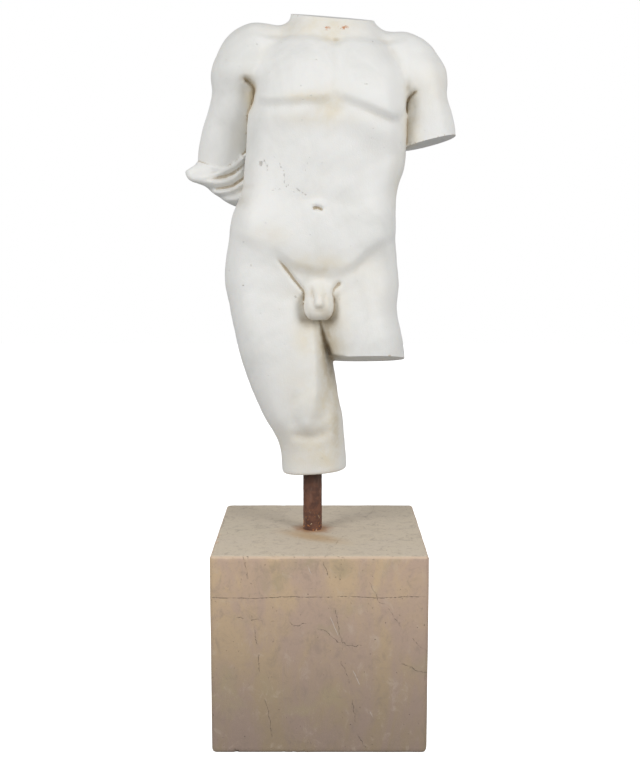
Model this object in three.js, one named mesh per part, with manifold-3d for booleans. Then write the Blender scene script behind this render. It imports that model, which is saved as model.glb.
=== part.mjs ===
// Marble torso of a standing man, carried by an iron rod on a stone block.
// Millimetres, +Z up from the floor under the block; the figure faces -Y and its left arm is at +X.
import * as THREE from "three";
import { SimplifyModifier } from "three/addons/modifiers/SimplifyModifier.js";
import { mergeVertices } from "three/addons/utils/BufferGeometryUtils.js";
import Module from "manifold-3d";

// Driving dimensions
const BLOCK_SIDE = 420;
const BLOCK_HEIGHT = 395;
const BLOCK_CORNER = 10;
const BLOCK_CHAMFER = 6;
const ROD_DIAMETER = 39;
const ROD_X = -14.5;
const STUMP_HEIGHT = 520; // middle of the cut below the knee
const NECK_HEIGHT = 1427; // middle of the cut through the neck
const ARM_CUT_HEIGHT = 1179; // inner front corner of the cut left arm
const THIGH_CUT_HEIGHT = 766; // front edge of the cut left thigh
const SOCKET_DEPTH = 80;
const FIT_GAP = 0.3;
const SKIN_STEP = 5.5;
const SKIN_TRIANGLES = 8600;

// ---- Soft solids: each function returns the distance from a point to a surface, negative inside ----

function softJoin(a, b, blend) {
  const h = Math.min(1, Math.max(0, 0.5 + (0.5 * (b - a)) / blend));
  return b + (a - b) * h - blend * h * (1 - h);
}

function softCut(a, b, blend) {
  return -softJoin(-a, -b, blend);
}

function ramp(from, to, value) {
  const t = Math.min(1, Math.max(0, (value - from) / (to - from)));
  return t * t * (3 - 2 * t);
}

// Keeps the last answer, as neighbouring points of a column ask for the same one.
function remember(work) {
  let lastA = NaN;
  let lastB = NaN;
  let answer;
  return (a, b) => {
    if (a !== lastA || b !== lastB) {
      answer = work(a, b);
      lastA = a;
      lastB = b;
    }
    return answer;
  };
}

// Smooth curve through rows of [station, value, value, ...], held flat past both ends.
function smoothRows(rows) {
  const sorted = [...rows].sort((a, b) => a[0] - b[0]);
  const last = sorted.length - 1;
  const slopes = sorted.map((row, i) => {
    const before = sorted[Math.max(0, i - 1)];
    const after = sorted[Math.min(last, i + 1)];
    return row.map((_, k) => (after[k] - before[k]) / (after[0] - before[0]));
  });
  return remember((station) => {
    const s = Math.min(sorted[last][0], Math.max(sorted[0][0], station));
    let i = 0;
    while (i < last - 1 && s > sorted[i + 1][0]) i += 1;
    const span = sorted[i + 1][0] - sorted[i][0];
    const t = (s - sorted[i][0]) / span;
    const here = (1 + 2 * t) * (1 - t) ** 2;
    const leave = t * (1 - t) ** 2 * span;
    const there = t * t * (3 - 2 * t);
    const arrive = t * t * (t - 1) * span;
    const curve = (_, k) =>
      here * sorted[i][k] + leave * slopes[i][k] + there * sorted[i + 1][k] + arrive * slopes[i + 1][k];
    return sorted[i].map(curve).slice(1);
  });
}

// Distance to an oval of half sizes a and b; power 2 is an ellipse, more is squarer.
function oval(dx, dy, a, b, power) {
  const reach = (Math.abs(dx / a) ** power + Math.abs(dy / b) ** power) ** (1 / power);
  const length = Math.hypot(dx, dy);
  return length - length / Math.max(reach, 1e-6);
}

// Loft of ovals; rows of [station, centre, half width, centre y, depth in front, depth behind].
function loft(rows, power) {
  const at = smoothRows(rows);
  return (across, y, station) => {
    const [centre, half, centreY, front, back] = at(station);
    const dy = y - centreY;
    return oval(across - centre, dy, half, dy < 0 ? front : back, power);
  };
}

// Round bar between two points; its height and depth change evenly from start to end.
function bar(start, end, startSize, endSize, cap) {
  const from = new THREE.Vector3(...start);
  const along = new THREE.Vector3(...end).sub(from);
  const length = along.length();
  along.normalize();
  const up = new THREE.Vector3(0, 0, 1).addScaledVector(along, -along.z).normalize();
  const side = new THREE.Vector3().crossVectors(along, up);
  const p = new THREE.Vector3();
  return (x, y, z) => {
    p.set(x, y, z).sub(from);
    const s = p.dot(along);
    const t = Math.min(1, Math.max(0, s / length));
    const high = startSize[0] + (endSize[0] - startSize[0]) * t;
    const deep = startSize[1] + (endSize[1] - startSize[1]) * t;
    const d = oval(p.dot(up), p.dot(side), high, deep, 2);
    return softCut(softCut(d, -s, cap), s - length, cap);
  };
}

function egg(centre, radii) {
  return (x, y, z) => {
    const dx = x - centre[0];
    const dy = y - centre[1];
    const dz = z - centre[2];
    const reach = Math.hypot(dx / radii[0], dy / radii[1], dz / radii[2]);
    const slope = Math.hypot(dx / radii[0] ** 2, dy / radii[1] ** 2, dz / radii[2] ** 2);
    return (reach * (reach - 1)) / Math.max(slope, 1e-9);
  };
}

function halfSpace(point, facing) {
  const normal = new THREE.Vector3(...facing).normalize();
  const offset = normal.dot(new THREE.Vector3(...point));
  return (x, y, z) => normal.x * x + normal.y * y + normal.z * z - offset;
}

// ---- Carving: heights over the front or back, as maps of x and z ----

// Rounded trough or ridge along a line of [x, z] points, fading out at both ends.
function furrow(width, height, ...points) {
  const line = new THREE.CatmullRomCurve3(
    points.map(([x, z]) => new THREE.Vector3(x, 0, z)),
    false,
    "catmullrom",
    0.5,
  ).getPoints(4 * (points.length - 1));
  const legs = line.slice(1).map((end, i) => {
    const start = line[i];
    const dx = end.x - start.x;
    const dz = end.z - start.z;
    return [start.x, start.z, dx, dz, dx * dx + dz * dz];
  });
  return (x, z) => {
    let nearest = Infinity;
    let place = 0;
    legs.forEach(([x0, z0, dx, dz, square], i) => {
      const t = Math.min(1, Math.max(0, ((x - x0) * dx + (z - z0) * dz) / square));
      const r = (x - x0 - t * dx) ** 2 + (z - z0 - t * dz) ** 2;
      if (r < nearest) {
        nearest = r;
        place = (i + t) / legs.length;
      }
    });
    return height * Math.exp(-nearest / width ** 2) * Math.min(1, 6.4 * place * (1 - place));
  };
}

// Rounded mound or hollow around a point.
function swell(cx, cz, rx, rz, height) {
  return (x, z) => height * Math.exp(-(((x - cx) / rx) ** 2) - ((z - cz) / rz) ** 2);
}

// Step up across a line, dying away above it; rows of [x, z, strength].
function ledge(rows, height, width, fade) {
  const at = smoothRows(rows);
  return (x, z) => {
    const [lineZ, strength] = at(x);
    const above = z - lineZ;
    return height * strength * ramp(-width, width, above) * Math.exp(-((Math.max(above, 0) / fade) ** 2));
  };
}

function reliefOf(marks) {
  return remember((x, z) => marks.reduce((sum, mark) => sum + mark(x, z), 0));
}

// ---- Torso: body, neck and legs ----

const trunk = loft(
  [
    [1400, 26, 88, 26, 66, 64],
    [1378, 25, 112, 20, 86, 78],
    [1350, 23, 134, 12, 98, 92],
    [1310, 21, 147, 6, 106, 104],
    [1266, 19.5, 153.5, 2, 108, 106],
    [1230, 16, 157.5, 0, 104, 104],
    [1185, 13.5, 158.5, -2, 96, 96],
    [1137, 10, 159, -4, 91, 86],
    [1089, 0.3, 154.2, -6, 88, 78],
    [1042, -11.3, 159.7, -6, 91, 82],
    [1010, -14.5, 163.5, -4, 93, 92],
    [978, -15.3, 168.2, -2, 92, 100],
    [946, -16.5, 171, 0, 88, 108],
    [905, -17, 165, 3, 82, 106],
    [868, -15, 146, 4, 60, 92],
    [830, -12, 110, 8, 36, 60],
  ],
  2.6,
);

const rightLeg = loft(
  [
    [970, -104, 60, 4, 60, 76],
    [905, -100, 85, 2, 80, 96],
    [849, -90.5, 89.5, 0, 86, 98],
    [800, -79.5, 90.5, -3, 87, 95],
    [751, -66, 93, -5, 86, 90],
    [701, -53, 89, -6, 82, 84],
    [668, -44.3, 84.3, -6, 78, 78],
    [635, -33.3, 79.3, -5, 74, 72],
    [602, -21.8, 71.3, -3, 68, 66],
    [568, -14, 67, 0, 62, 61],
    [535, -11.5, 66.5, 0, 59, 60],
    [500, -11, 66, 0, 58, 60],
  ],
  2.4,
);

const leftThigh = loft(
  [
    [970, 70, 58, -4, 56, 78],
    [905, 76, 79.5, -6, 80, 96],
    [849, 77.5, 78.5, -9, 86, 94],
    [800, 86.3, 79.3, -12, 88, 88],
    [767, 93, 78, -12, 86, 84],
    [735, 97, 76, -12, 84, 80],
  ],
  2.4,
);

const thighCut = halfSpace([96, -95, THIGH_CUT_HEIGHT], [-0.01, 0.176, 1]);

const neck = loft(
  [
    [1440, 24.5, 80, 20, 66, 66],
    [1415, 24.5, 85, 19, 72, 72],
    [1390, 24, 104, 18, 82, 80],
    [1350, 24, 116, 16, 84, 84],
  ],
  2.2,
);

const rightSlope = bar([0, 34, 1375], [-134, 16, 1374], [40, 50], [36, 42], 24);
const leftSlope = bar([50, 34, 1367], [176, 16, 1354], [45, 50], [36, 40], 24);

function wholeLeftThigh(x, y, z) {
  return softCut(leftThigh(x, y, z), z - 950, 40);
}

function body(x, y, z) {
  const middle = softCut(softCut(trunk(x, y, z), z - 1404, 30), 832 - z, 24);
  const right = softCut(rightLeg(x, y, z), z - 950, 40);
  const left = Math.max(wholeLeftThigh(x, y, z), -thighCut(x, y, z));
  const withLegs = softJoin(middle, softJoin(right, left, 6), 30);
  const withNeck = softJoin(withLegs, softCut(neck(x, y, z), 1350 - z, 20), 18);
  return softJoin(softJoin(withNeck, rightSlope(x, y, z), 22), leftSlope(x, y, z), 22);
}

// ---- Torso: shoulders and arms ----

// The right arm hangs and leans back, so that its forearm passes behind the back.
const RIGHT_ARM_ROWS = [
  [1330, -148, 55, 14, 64, 58],
  [1280, -162, 52, 24, 58, 54],
  [1246, -173, 51, 32, 53, 52],
  [1215, -184.5, 51.5, 42, 49, 49],
  [1184, -193, 51, 50, 48, 48],
  [1152, -198, 51, 58, 47, 47],
  [1120, -202, 47, 66, 46, 46],
  [1080, -204, 45, 74, 44, 44],
];

const rightArm = loft(RIGHT_ARM_ROWS, 2.1);
const rightShoulder = egg([-129, 12, 1300], [84.5, 68, 114]);

const leftArm = loft(
  [
    [1330, 195, 47, 10, 60, 58],
    [1277, 206, 45, 8, 60, 58],
    [1246, 211.5, 49.5, 7, 56, 56],
    [1215, 216.5, 52.5, 7, 53, 55],
    [1184, 218, 54, 6, 51, 54],
    [1140, 219, 55, 4, 50, 53],
  ],
  2.2,
);
const leftShoulder = egg([164, 10, 1294], [85.5, 66, 102]);
const leftArmCut = halfSpace([184, -48, ARM_CUT_HEIGHT], [-0.25, 0.08, 1]);

function wholeLeftArm(x, y, z) {
  const cap = softCut(leftShoulder(x, y, z), 1280 - z, 40);
  return softJoin(softCut(leftArm(x, y, z), z - 1330, 24), cap, 26);
}

function addArms(skin, x, y, z) {
  const rightCap = softCut(rightShoulder(x, y, z), 1290 - z, 40);
  const rightLimb = softCut(softCut(rightArm(x, y, z), z - 1330, 24), 1118 - z, 24);
  const right = softJoin(rightLimb, rightCap, 26);
  const left = Math.max(wholeLeftArm(x, y, z), -leftArmCut(x, y, z));
  const withRight = softJoin(skin, right, 3 + 17 * ramp(1262, 1310, z));
  return softJoin(withRight, left, 2.5 + 17 * ramp(1245, 1295, z));
}

// ---- Torso: carving of the front ----

const collarLine = [
  [-150, 1396, 0],
  [-128, 1388, 0.2],
  [-104, 1383, 0.7],
  [-60, 1379, 1],
  [-10, 1375, 1],
  [14, 1371, 0.9],
  [31, 1363, 0.7],
  [48, 1371, 0.9],
  [90, 1371, 1],
  [130, 1370, 0.9],
  [160, 1374, 0.4],
  [185, 1380, 0],
];
const rightBreastLine = [
  [-150, 1282, 0],
  [-134, 1268, 0.4],
  [-118, 1259, 0.85],
  [-100, 1254, 1],
  [-66, 1253, 1],
  [-33, 1254, 1],
  [0, 1256, 0.85],
  [16, 1259, 0.5],
  [28, 1263, 0.15],
  [40, 1268, 0],
];
const leftBreastLine = [
  [18, 1270, 0],
  [30, 1266, 0.2],
  [42, 1261, 0.5],
  [58, 1255, 0.85],
  [80, 1247, 1],
  [108, 1236, 1.1],
  [130, 1228, 1.2],
  [144, 1224, 1.1],
  [158, 1230, 0.8],
  [170, 1250, 0.3],
  [180, 1270, 0],
];
const bellyLine = [
  [-185, 1008, 0.2],
  [-160, 998, 0.5],
  [-135, 987, 0.6],
  [-112, 981, 0.4],
  [-92, 974, 0.35],
  [-74, 960, 0.6],
  [-58, 946, 0.9],
  [-38, 937, 1],
  [-14, 931, 1],
  [20, 928, 1],
  [50, 933, 1.1],
  [69, 944, 1.2],
  [86, 960, 1.1],
  [107, 976, 1],
  [136, 992, 0.8],
  [160, 1006, 0.4],
];

const chestMarks = [
  ledge(collarLine, -8, 8, 34),
  swell(31, 1372, 10, 9, -4),
  ledge(rightBreastLine, 9.5, 11, 90),
  ledge(leftBreastLine, 10.5, 11, 90),
  furrow(15, -2, [34, 1385], [30, 1340], [29, 1300], [28, 1262], [26, 1230]),
  furrow(16, -3.5, [-104, 1380], [-116, 1350], [-126, 1318], [-126, 1290], [-118, 1262]),
  furrow(15, -4, [112, 1384], [130, 1360], [150, 1338], [163, 1315], [168, 1285], [168, 1250]),
  swell(134, 1346, 18, 15, -3),
];

const ribMarks = [
  furrow(22, 4.5, [36, 1234], [77, 1214], [120, 1196], [165, 1188]),
  furrow(22, 3.5, [-130, 1226], [-80, 1228], [-40, 1230], [-5, 1234]),
  swell(26, 1238, 20, 14, -3.5),
  swell(-22, 1158, 44, 30, 2.5),
  swell(46, 1158, 40, 30, 2.5),
  swell(112, 1142, 24, 42, -6),
  swell(-108, 1130, 24, 44, -2.5),
];

const bellyMarks = [
  furrow(18, -3, [86, 1190], [88, 1150], [82, 1112], [76, 1080], [80, 1050]),
  furrow(20, -1.2, [-74, 1196], [-82, 1150], [-82, 1100], [-78, 1060]),
  furrow(14, -1.5, [26, 1240], [20, 1205], [14, 1160], [6, 1100], [0, 1066]),
  furrow(12, -1.8, [-50, 1074], [-24, 1071], [20, 1067], [50, 1060], [90, 1050]),
  swell(-34, 1100, 30, 22, 2),
  swell(44, 1093, 26, 20, 3),
  furrow(3.6, -10, [-13, 1051], [-7, 1053], [0, 1052], [8, 1048]),
  furrow(8, 2, [-18, 1058], [-6, 1062], [4, 1061], [14, 1055]),
  swell(-6, 992, 84, 50, 5),
  ledge(bellyLine, 8, 15, 56),
  swell(-132, 1034, 32, 36, 3),
  swell(128, 1038, 28, 32, 3),
];

const groinMarks = [
  swell(0, 906, 36, 20, 3),
  furrow(3.6, -9, [-84, 958], [-65, 935], [-50, 915], [-38, 900], [-30, 888], [-31, 872]),
  furrow(4.6, -7, [43, 912], [36, 904], [29, 896], [25, 886], [28, 868]),
];

// The folds of the armpits, each from its notch in front down the edge of the ribs.
const RIGHT_ARMPIT = [[-150, 1303], [-143, 1300], [-134, 1294], [-128, 1286], [-129, 1272], [-138, 1240]];
const armpitMarks = [
  furrow(4.4, -9, ...RIGHT_ARMPIT),
  swell(-146, 1277, 14, 20, -7),
  furrow(4, -8, [192, 1279], [184, 1274], [176, 1266], [172, 1254], [171.5, 1235]),
  swell(185, 1253, 10, 18, -4),
];

const legMarks = [
  furrow(14, 7, [-14, 870], [-8, 800], [-7, 750], [-7, 700], [-9, 640]),
  swell(26, 735, 18, 80, -8),
  swell(-21, 660, 22, 34, 7),
  swell(-25, 627, 13, 16, 5),
  swell(-88, 640, 20, 40, 4),
  swell(28, 636, 18, 40, 4),
  furrow(12, -2.5, [-44, 700], [-54, 668], [-55, 640], [-44, 612]),
  furrow(12, -4.5, [-60, 610], [-34, 601], [-6, 602], [24, 616]),
  swell(-6, 558, 30, 24, 2.5),
];

const frontRelief = reliefOf([
  ...chestMarks,
  ...ribMarks,
  ...bellyMarks,
  ...groinMarks,
  ...armpitMarks,
  ...legMarks,
]);

// ---- Torso: carving of the back ----

const backRelief = reliefOf([
  furrow(20, -11, [27, 1430], [24, 1350], [18, 1260], [8, 1160], [-4, 1070], [-13, 1000]),
  swell(-74, 1300, 46, 60, 8),
  swell(114, 1290, 46, 60, 8),
  furrow(20, -4, [-30, 1340], [-34, 1290], [-56, 1236], [-116, 1206]),
  furrow(20, -4, [76, 1330], [78, 1280], [100, 1230], [156, 1200]),
  furrow(26, 6, [-34, 1200], [-42, 1110], [-50, 1040], [-48, 990]),
  furrow(26, 6, [56, 1200], [42, 1110], [26, 1040], [20, 990]),
  furrow(17, -30, [-14, 1004], [-14, 950], [-13, 900], [-10, 860], [-8, 830]),
  swell(-100, 908, 64, 62, 15),
  swell(72, 902, 62, 60, 15),
  furrow(20, -10, [-180, 872], [-130, 842], [-80, 834], [-24, 850]),
  furrow(20, -10, [0, 846], [56, 828], [106, 834], [160, 864]),
  swell(-14, 600, 20, 40, -5),
  furrow(14, 4, [-70, 700], [-62, 640], [-52, 590]),
  furrow(14, 4, [16, 700], [24, 640], [28, 590]),
]);

function carve(skin, x, y, z) {
  return skin - frontRelief(x, z) * ramp(25, -35, y) - backRelief(x, z) * ramp(0, 50, y);
}

// ---- Torso: sex ----

const pouchEggs = [
  egg([-14, -84, 864], [16.5, 24, 27]),
  egg([11, -84, 864], [16.5, 24, 27]),
  egg([-1, -84, 853], [21, 21, 16]),
  egg([-1, -79, 883], [25, 15, 17]),
];
const memberBar = bar([-1, -74, 916], [0, -109, 861], [15, 15.5], [11, 9.5], 9);

// Both are sharply parted from the body below, and melt into it above.
function addSex(skin, x, y, z) {
  const pouch = pouchEggs.map((part) => part(x, y, z)).reduce((a, b) => softJoin(a, b, 10));
  const member = softCut(memberBar(x, y, z), z - 908, 26);
  const withPouch = softJoin(skin, pouch, 2.5 + 22 * ramp(868, 896, z));
  return softJoin(withPouch, member, 1.2 + 14 * ramp(884, 906, z));
}

// ---- Torso: cloth gathered round the right elbow and forearm ----

// Here the stations are x and the widths run up and down.
const CLOTH_ROWS = [
  [-273, 1127, 2, 30, 3, 3],
  [-267, 1123, 9, 29, 8, 10],
  [-258, 1123, 15, 31, 13, 18],
  [-248, 1124, 19, 36, 19, 28],
  [-232, 1120, 22, 44, 30, 38],
  [-215, 1110, 26, 54, 40, 44],
  [-200, 1104, 30, 62, 46, 48],
  [-184, 1100, 37, 68, 50, 50],
  [-165, 1099, 43, 75, 52, 48],
  [-140, 1099, 46, 85, 52, 46],
  [-100, 1096, 46, 94, 44, 44],
  [-60, 1088, 42, 98, 34, 38],
  [-20, 1078, 36, 97, 26, 30],
  [4, 1072, 22, 94, 16, 20],
];
const CLOTH_WALL = 3.5;
const clothRoll = loft(CLOTH_ROWS, 2.3);
const clothMiddle = smoothRows(CLOTH_ROWS);
const sleeve = loft(
  RIGHT_ARM_ROWS.map(([z, cx, half, cy, front, back]) => [
    z,
    cx,
    half + CLOTH_WALL,
    cy,
    front + CLOTH_WALL,
    back + CLOTH_WALL,
  ]),
  2.1,
);
const hem = smoothRows([
  [-290, 1126],
  [-277, 1130],
  [-256, 1147],
  [-246, 1146],
  [-234, 1142],
  [-217, 1138],
  [-200, 1135],
  [-186, 1136],
  [-172, 1142],
  [-158, 1154],
  [-145, 1168],
  [-130, 1184],
]);

const FOLD_1 = [[-262, 1114], [-239, 1115], [-222, 1117], [-207, 1121], [-191, 1127], [-175, 1135]];
const FOLD_1_END = [[-165, 1142], [-154, 1154], [-143, 1168], [-134, 1180]];
const HOLLOW_1 = [[-232, 1110], [-207, 1113], [-188, 1118], [-172, 1126]];
const HOLLOW_1_END = [[-160, 1137], [-150, 1148], [-140, 1160]];
const FOLD_2 = [[-262, 1110], [-244, 1108], [-213, 1107], [-191, 1108], [-181, 1112], [-170, 1118]];
const FOLD_2_END = [[-162, 1126], [-152, 1136], [-143, 1146], [-132, 1160]];
const DEEP_HOLLOW = [[-228, 1094], [-214, 1093.5], [-202, 1095], [-187, 1097], [-176, 1100], [-165, 1107]];
const DEEP_HOLLOW_END = [[-155, 1114], [-144, 1125], [-134, 1136]];
const FOLD_3 = [[-226, 1088], [-214, 1088], [-204, 1086], [-194, 1086], [-181, 1089], [-167, 1097]];
const FOLD_3_END = [[-157, 1104], [-145, 1116], [-132, 1130]];
const HOLLOW_3 = [[-206, 1078], [-190, 1079], [-172, 1084], [-160, 1092], [-148, 1102]];
const FOLD_4 = [[-208, 1074], [-197, 1073], [-181, 1072], [-165, 1074], [-150, 1084], [-138, 1100]];

const foldRelief = reliefOf([
  furrow(3.6, 4, ...FOLD_1, ...FOLD_1_END),
  furrow(9, -4, ...HOLLOW_1, ...HOLLOW_1_END),
  furrow(5, 5, ...FOLD_2, ...FOLD_2_END),
  furrow(5, -10, ...DEEP_HOLLOW, ...DEEP_HOLLOW_END),
  furrow(4.5, 4, ...FOLD_3, ...FOLD_3_END),
  furrow(8, -3, ...HOLLOW_3),
  furrow(5, 3, ...FOLD_4),
  furrow(4, -2.5, [-266, 1122], [-271, 1124], [-268, 1117]),
]);

// Pleats behind the back spread like a fan from the pinched corner at the elbow.
const pleatRelief = remember((x, z) => {
  const turn = Math.atan2(z - 1128, x + 330);
  const reach = ramp(-262, -170, x) * ramp(10, -40, x);
  return reach * (5 - 7 * Math.abs(Math.sin(20 * turn + 0.6)));
});

function cloth(x, y, z) {
  const roll = softCut(softCut(clothRoll(z, y, x), -273 - x, 3), x - 6, 20);
  const cuff = softCut(softCut(sleeve(x, y, z), z - hem(x)[0], 1.5), 1112 - z, 26);
  const inFront = ramp(6, -14, y - clothMiddle(x)[2]);
  return softJoin(roll, cuff, 10) - foldRelief(x, z) * inFront - pleatRelief(x, z) * (1 - inFront);
}

// ---- Torso: the whole carved figure ----

const neckCut = halfSpace([25, 14, NECK_HEIGHT], [0.08, -0.2, 1]);
const stumpCut = halfSpace([-12, 0, STUMP_HEIGHT], [-0.07, 0, 1]);

function dressedBody(x, y, z) {
  const carved = carve(addArms(body(x, y, z), x, y, z), x, y, z);
  return softJoin(addSex(carved, x, y, z), cloth(x, y, z), 3);
}

function figure(x, y, z) {
  return softCut(Math.max(dressedBody(x, y, z), neckCut(x, y, z)), -stumpCut(x, y, z), 8);
}

// Each sharp edge is where a limb's surface meets the flat cut through it.
const sharpEdges = [
  [wholeLeftThigh, thighCut],
  [wholeLeftArm, leftArmCut],
  [dressedBody, neckCut],
];

const FIGURE_BOX = new THREE.Box3(new THREE.Vector3(-290, -145, 500), new THREE.Vector3(286, 165, 1450));

// Skin of a soft solid: one point in each small cube that the surface crosses, joined into quads.
function skinOf(solid, box, step) {
  const size = box.getSize(new THREE.Vector3());
  const nx = Math.ceil(size.x / step) + 1;
  const ny = Math.ceil(size.y / step) + 1;
  const nz = Math.ceil(size.z / step) + 1;
  const at = (i, j, k) => (k * nx + i) * ny + j;
  const value = new Float32Array(nx * ny * nz);
  for (let k = 0; k < nz; k += 1)
    for (let i = 0; i < nx; i += 1)
      for (let j = 0; j < ny; j += 1)
        value[at(i, j, k)] = solid(box.min.x + i * step, box.min.y + j * step, box.min.z + k * step);

  // Where the solid would touch itself only across the corners of a grid square, the pinch is filled.
  const squares = [
    [1, ny],
    [1, nx * ny],
    [ny, nx * ny],
  ];
  let pinches = 1;
  while (pinches > 0) {
    pinches = 0;
    for (const [u, v] of squares)
      for (let a = 0; a + u + v < value.length; a += 1) {
        const [p, q, r, s] = [value[a], value[a + u], value[a + v], value[a + u + v]];
        if (p < 0 !== s < 0 || q < 0 !== r < 0 || p < 0 === q < 0) continue;
        pinches += 1;
        for (const b of [a, a + u, a + v, a + u + v]) value[b] = Math.min(value[b], -0.2 * step);
      }
  }

  const pointAt = new Int32Array(nx * ny * nz).fill(-1);
  const points = [];
  const corner = [0, 1, 2, 3, 4, 5, 6, 7].map((c) => [c & 1, (c >> 1) & 1, (c >> 2) & 1]);
  const edges = [];
  for (let a = 0; a < 8; a += 1)
    for (const bit of [1, 2, 4])
      if (!(a & bit)) edges.push([a, a | bit]);
  for (let k = 0; k < nz - 1; k += 1)
    for (let i = 0; i < nx - 1; i += 1)
      for (let j = 0; j < ny - 1; j += 1) {
        const v = corner.map(([a, b, c]) => value[at(i + a, j + b, k + c)]);
        const crossed = edges.filter(([a, b]) => v[a] < 0 !== v[b] < 0);
        if (!crossed.length) continue;
        const sum = new THREE.Vector3();
        for (const [a, b] of crossed) {
          const t = v[a] / (v[a] - v[b]);
          sum.add(new THREE.Vector3(...corner[a]).lerp(new THREE.Vector3(...corner[b]), t));
        }
        sum.divideScalar(crossed.length);
        pointAt[at(i, j, k)] = points.length / 3;
        sum.add(new THREE.Vector3(i, j, k)).multiplyScalar(step).add(box.min);
        points.push(sum.x, sum.y, sum.z);
      }

  const faces = [];
  const quad = (inside, a, b, c, d) => {
    if (inside) faces.push(a, b, c, a, c, d);
    else faces.push(a, c, b, a, d, c);
  };
  for (let k = 1; k < nz - 1; k += 1)
    for (let i = 1; i < nx - 1; i += 1)
      for (let j = 1; j < ny - 1; j += 1) {
        const here = value[at(i, j, k)] < 0;
        const p = (a, b, c) => pointAt[at(i - a, j - b, k - c)];
        if (here !== value[at(i + 1, j, k)] < 0) quad(here, p(0, 1, 1), p(0, 0, 1), p(0, 0, 0), p(0, 1, 0));
        if (here !== value[at(i, j + 1, k)] < 0) quad(here, p(1, 0, 1), p(1, 0, 0), p(0, 0, 0), p(0, 0, 1));
        if (here !== value[at(i, j, k + 1)] < 0) quad(here, p(1, 1, 0), p(0, 1, 0), p(0, 0, 0), p(1, 0, 0));
      }
  const skin = new THREE.BufferGeometry();
  skin.setAttribute("position", new THREE.Float32BufferAttribute(points, 3));
  skin.setIndex(faces);
  return skin;
}

// Moves a point onto a soft solid's surface, by no more than reach.
function pullTo(p, solid, reach) {
  const d = solid(p.x, p.y, p.z);
  const slope = new THREE.Vector3(
    solid(p.x + 0.5, p.y, p.z) - solid(p.x - 0.5, p.y, p.z),
    solid(p.x, p.y + 0.5, p.z) - solid(p.x, p.y - 0.5, p.z),
    solid(p.x, p.y, p.z + 0.5) - solid(p.x, p.y, p.z - 0.5),
  );
  const size = slope.length();
  const shift = Math.min(reach, Math.max(-reach, -d / Math.max(size, 0.5))) * Math.min(size / 0.5, 1);
  return p.addScaledVector(slope.normalize(), shift);
}

function movePoints(skin, move) {
  const place = skin.getAttribute("position");
  for (let i = 0; i < place.count; i += 1) {
    const p = move(new THREE.Vector3().fromBufferAttribute(place, i));
    place.setXYZ(i, p.x, p.y, p.z);
  }
  return skin;
}

// Evens the points out: each goes half-way to the middle of its neighbours, then back to the surface.
function relax(skin, solid) {
  const place = skin.getAttribute("position");
  const order = skin.index.array;
  const middle = Array.from({ length: place.count }, () => new THREE.Vector3());
  const links = new Float32Array(place.count);
  const p = new THREE.Vector3();
  for (let c = 0; c < order.length; c += 1) {
    const next = c % 3 === 2 ? c - 2 : c + 1;
    middle[order[c]].add(p.fromBufferAttribute(place, order[next]));
    links[order[c]] += 1;
  }
  middle.forEach((m, i) => {
    m.divideScalar(links[i]).lerp(p.fromBufferAttribute(place, i), 0.5);
    pullTo(m, solid, SKIN_STEP / 2);
    place.setXYZ(i, m.x, m.y, m.z);
  });
  return skin;
}

// Points close to a sharp edge slide onto it.
function sharpen(p) {
  const near = 0.75 * SKIN_STEP;
  for (const [limb, cut] of sharpEdges) {
    if (Math.abs(cut(p.x, p.y, p.z)) > near || Math.abs(limb(p.x, p.y, p.z)) > near) continue;
    for (let turn = 0; turn < 4; turn += 1) pullTo(pullTo(p, limb, near), cut, near);
  }
  return p;
}

// ---- Joining and cutting closed meshes ----

const wasm = await Module();
wasm.setup();

function toSolid(geometry) {
  const bare = geometry.clone();
  bare.deleteAttribute("normal");
  bare.deleteAttribute("uv");
  const merged = mergeVertices(bare, 1e-3);
  return new wasm.Manifold(
    new wasm.Mesh({
      numProp: 3,
      vertProperties: new Float32Array(merged.getAttribute("position").array),
      triVerts: new Uint32Array(merged.index.array),
    }),
  );
}

function toGeometry(solid) {
  const mesh = solid.getMesh();
  const geometry = new THREE.BufferGeometry();
  geometry.setAttribute("position", new THREE.BufferAttribute(new Float32Array(mesh.vertProperties), 3));
  geometry.setIndex(new THREE.BufferAttribute(new Uint32Array(mesh.triVerts), 1));
  geometry.computeVertexNormals();
  return geometry;
}

// ---- Rod ----

// A plain round bar, let into a blind hole at each end.
const rodFoot = BLOCK_HEIGHT - SOCKET_DEPTH;
const rodHead = STUMP_HEIGHT + SOCKET_DEPTH;

function standingCylinder(diameter, from, to) {
  return new THREE.CylinderGeometry(diameter / 2, diameter / 2, to - from, 48)
    .rotateX(Math.PI / 2)
    .translate(ROD_X, 0, (from + to) / 2);
}

const rodGeometry = standingCylinder(ROD_DIAMETER, rodFoot, rodHead);
const socketDrill = toSolid(
  standingCylinder(ROD_DIAMETER + 2 * FIT_GAP, rodFoot - FIT_GAP, rodHead + FIT_GAP),
);

// ---- Torso mesh ----

const evenSkin = relax(relax(skinOf(figure, FIGURE_BOX, SKIN_STEP), figure), figure);
const fullSkin = movePoints(evenSkin, sharpen);
const spare = Math.max(0, fullSkin.getAttribute("position").count - SKIN_TRIANGLES / 2);
const lightSkin = await new SimplifyModifier().modify(fullSkin, spare);
const closeSkin = movePoints(lightSkin, (p) => pullTo(p, figure, 2));
const torsoGeometry = toGeometry(toSolid(closeSkin).subtract(socketDrill));

// ---- Block ----

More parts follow.
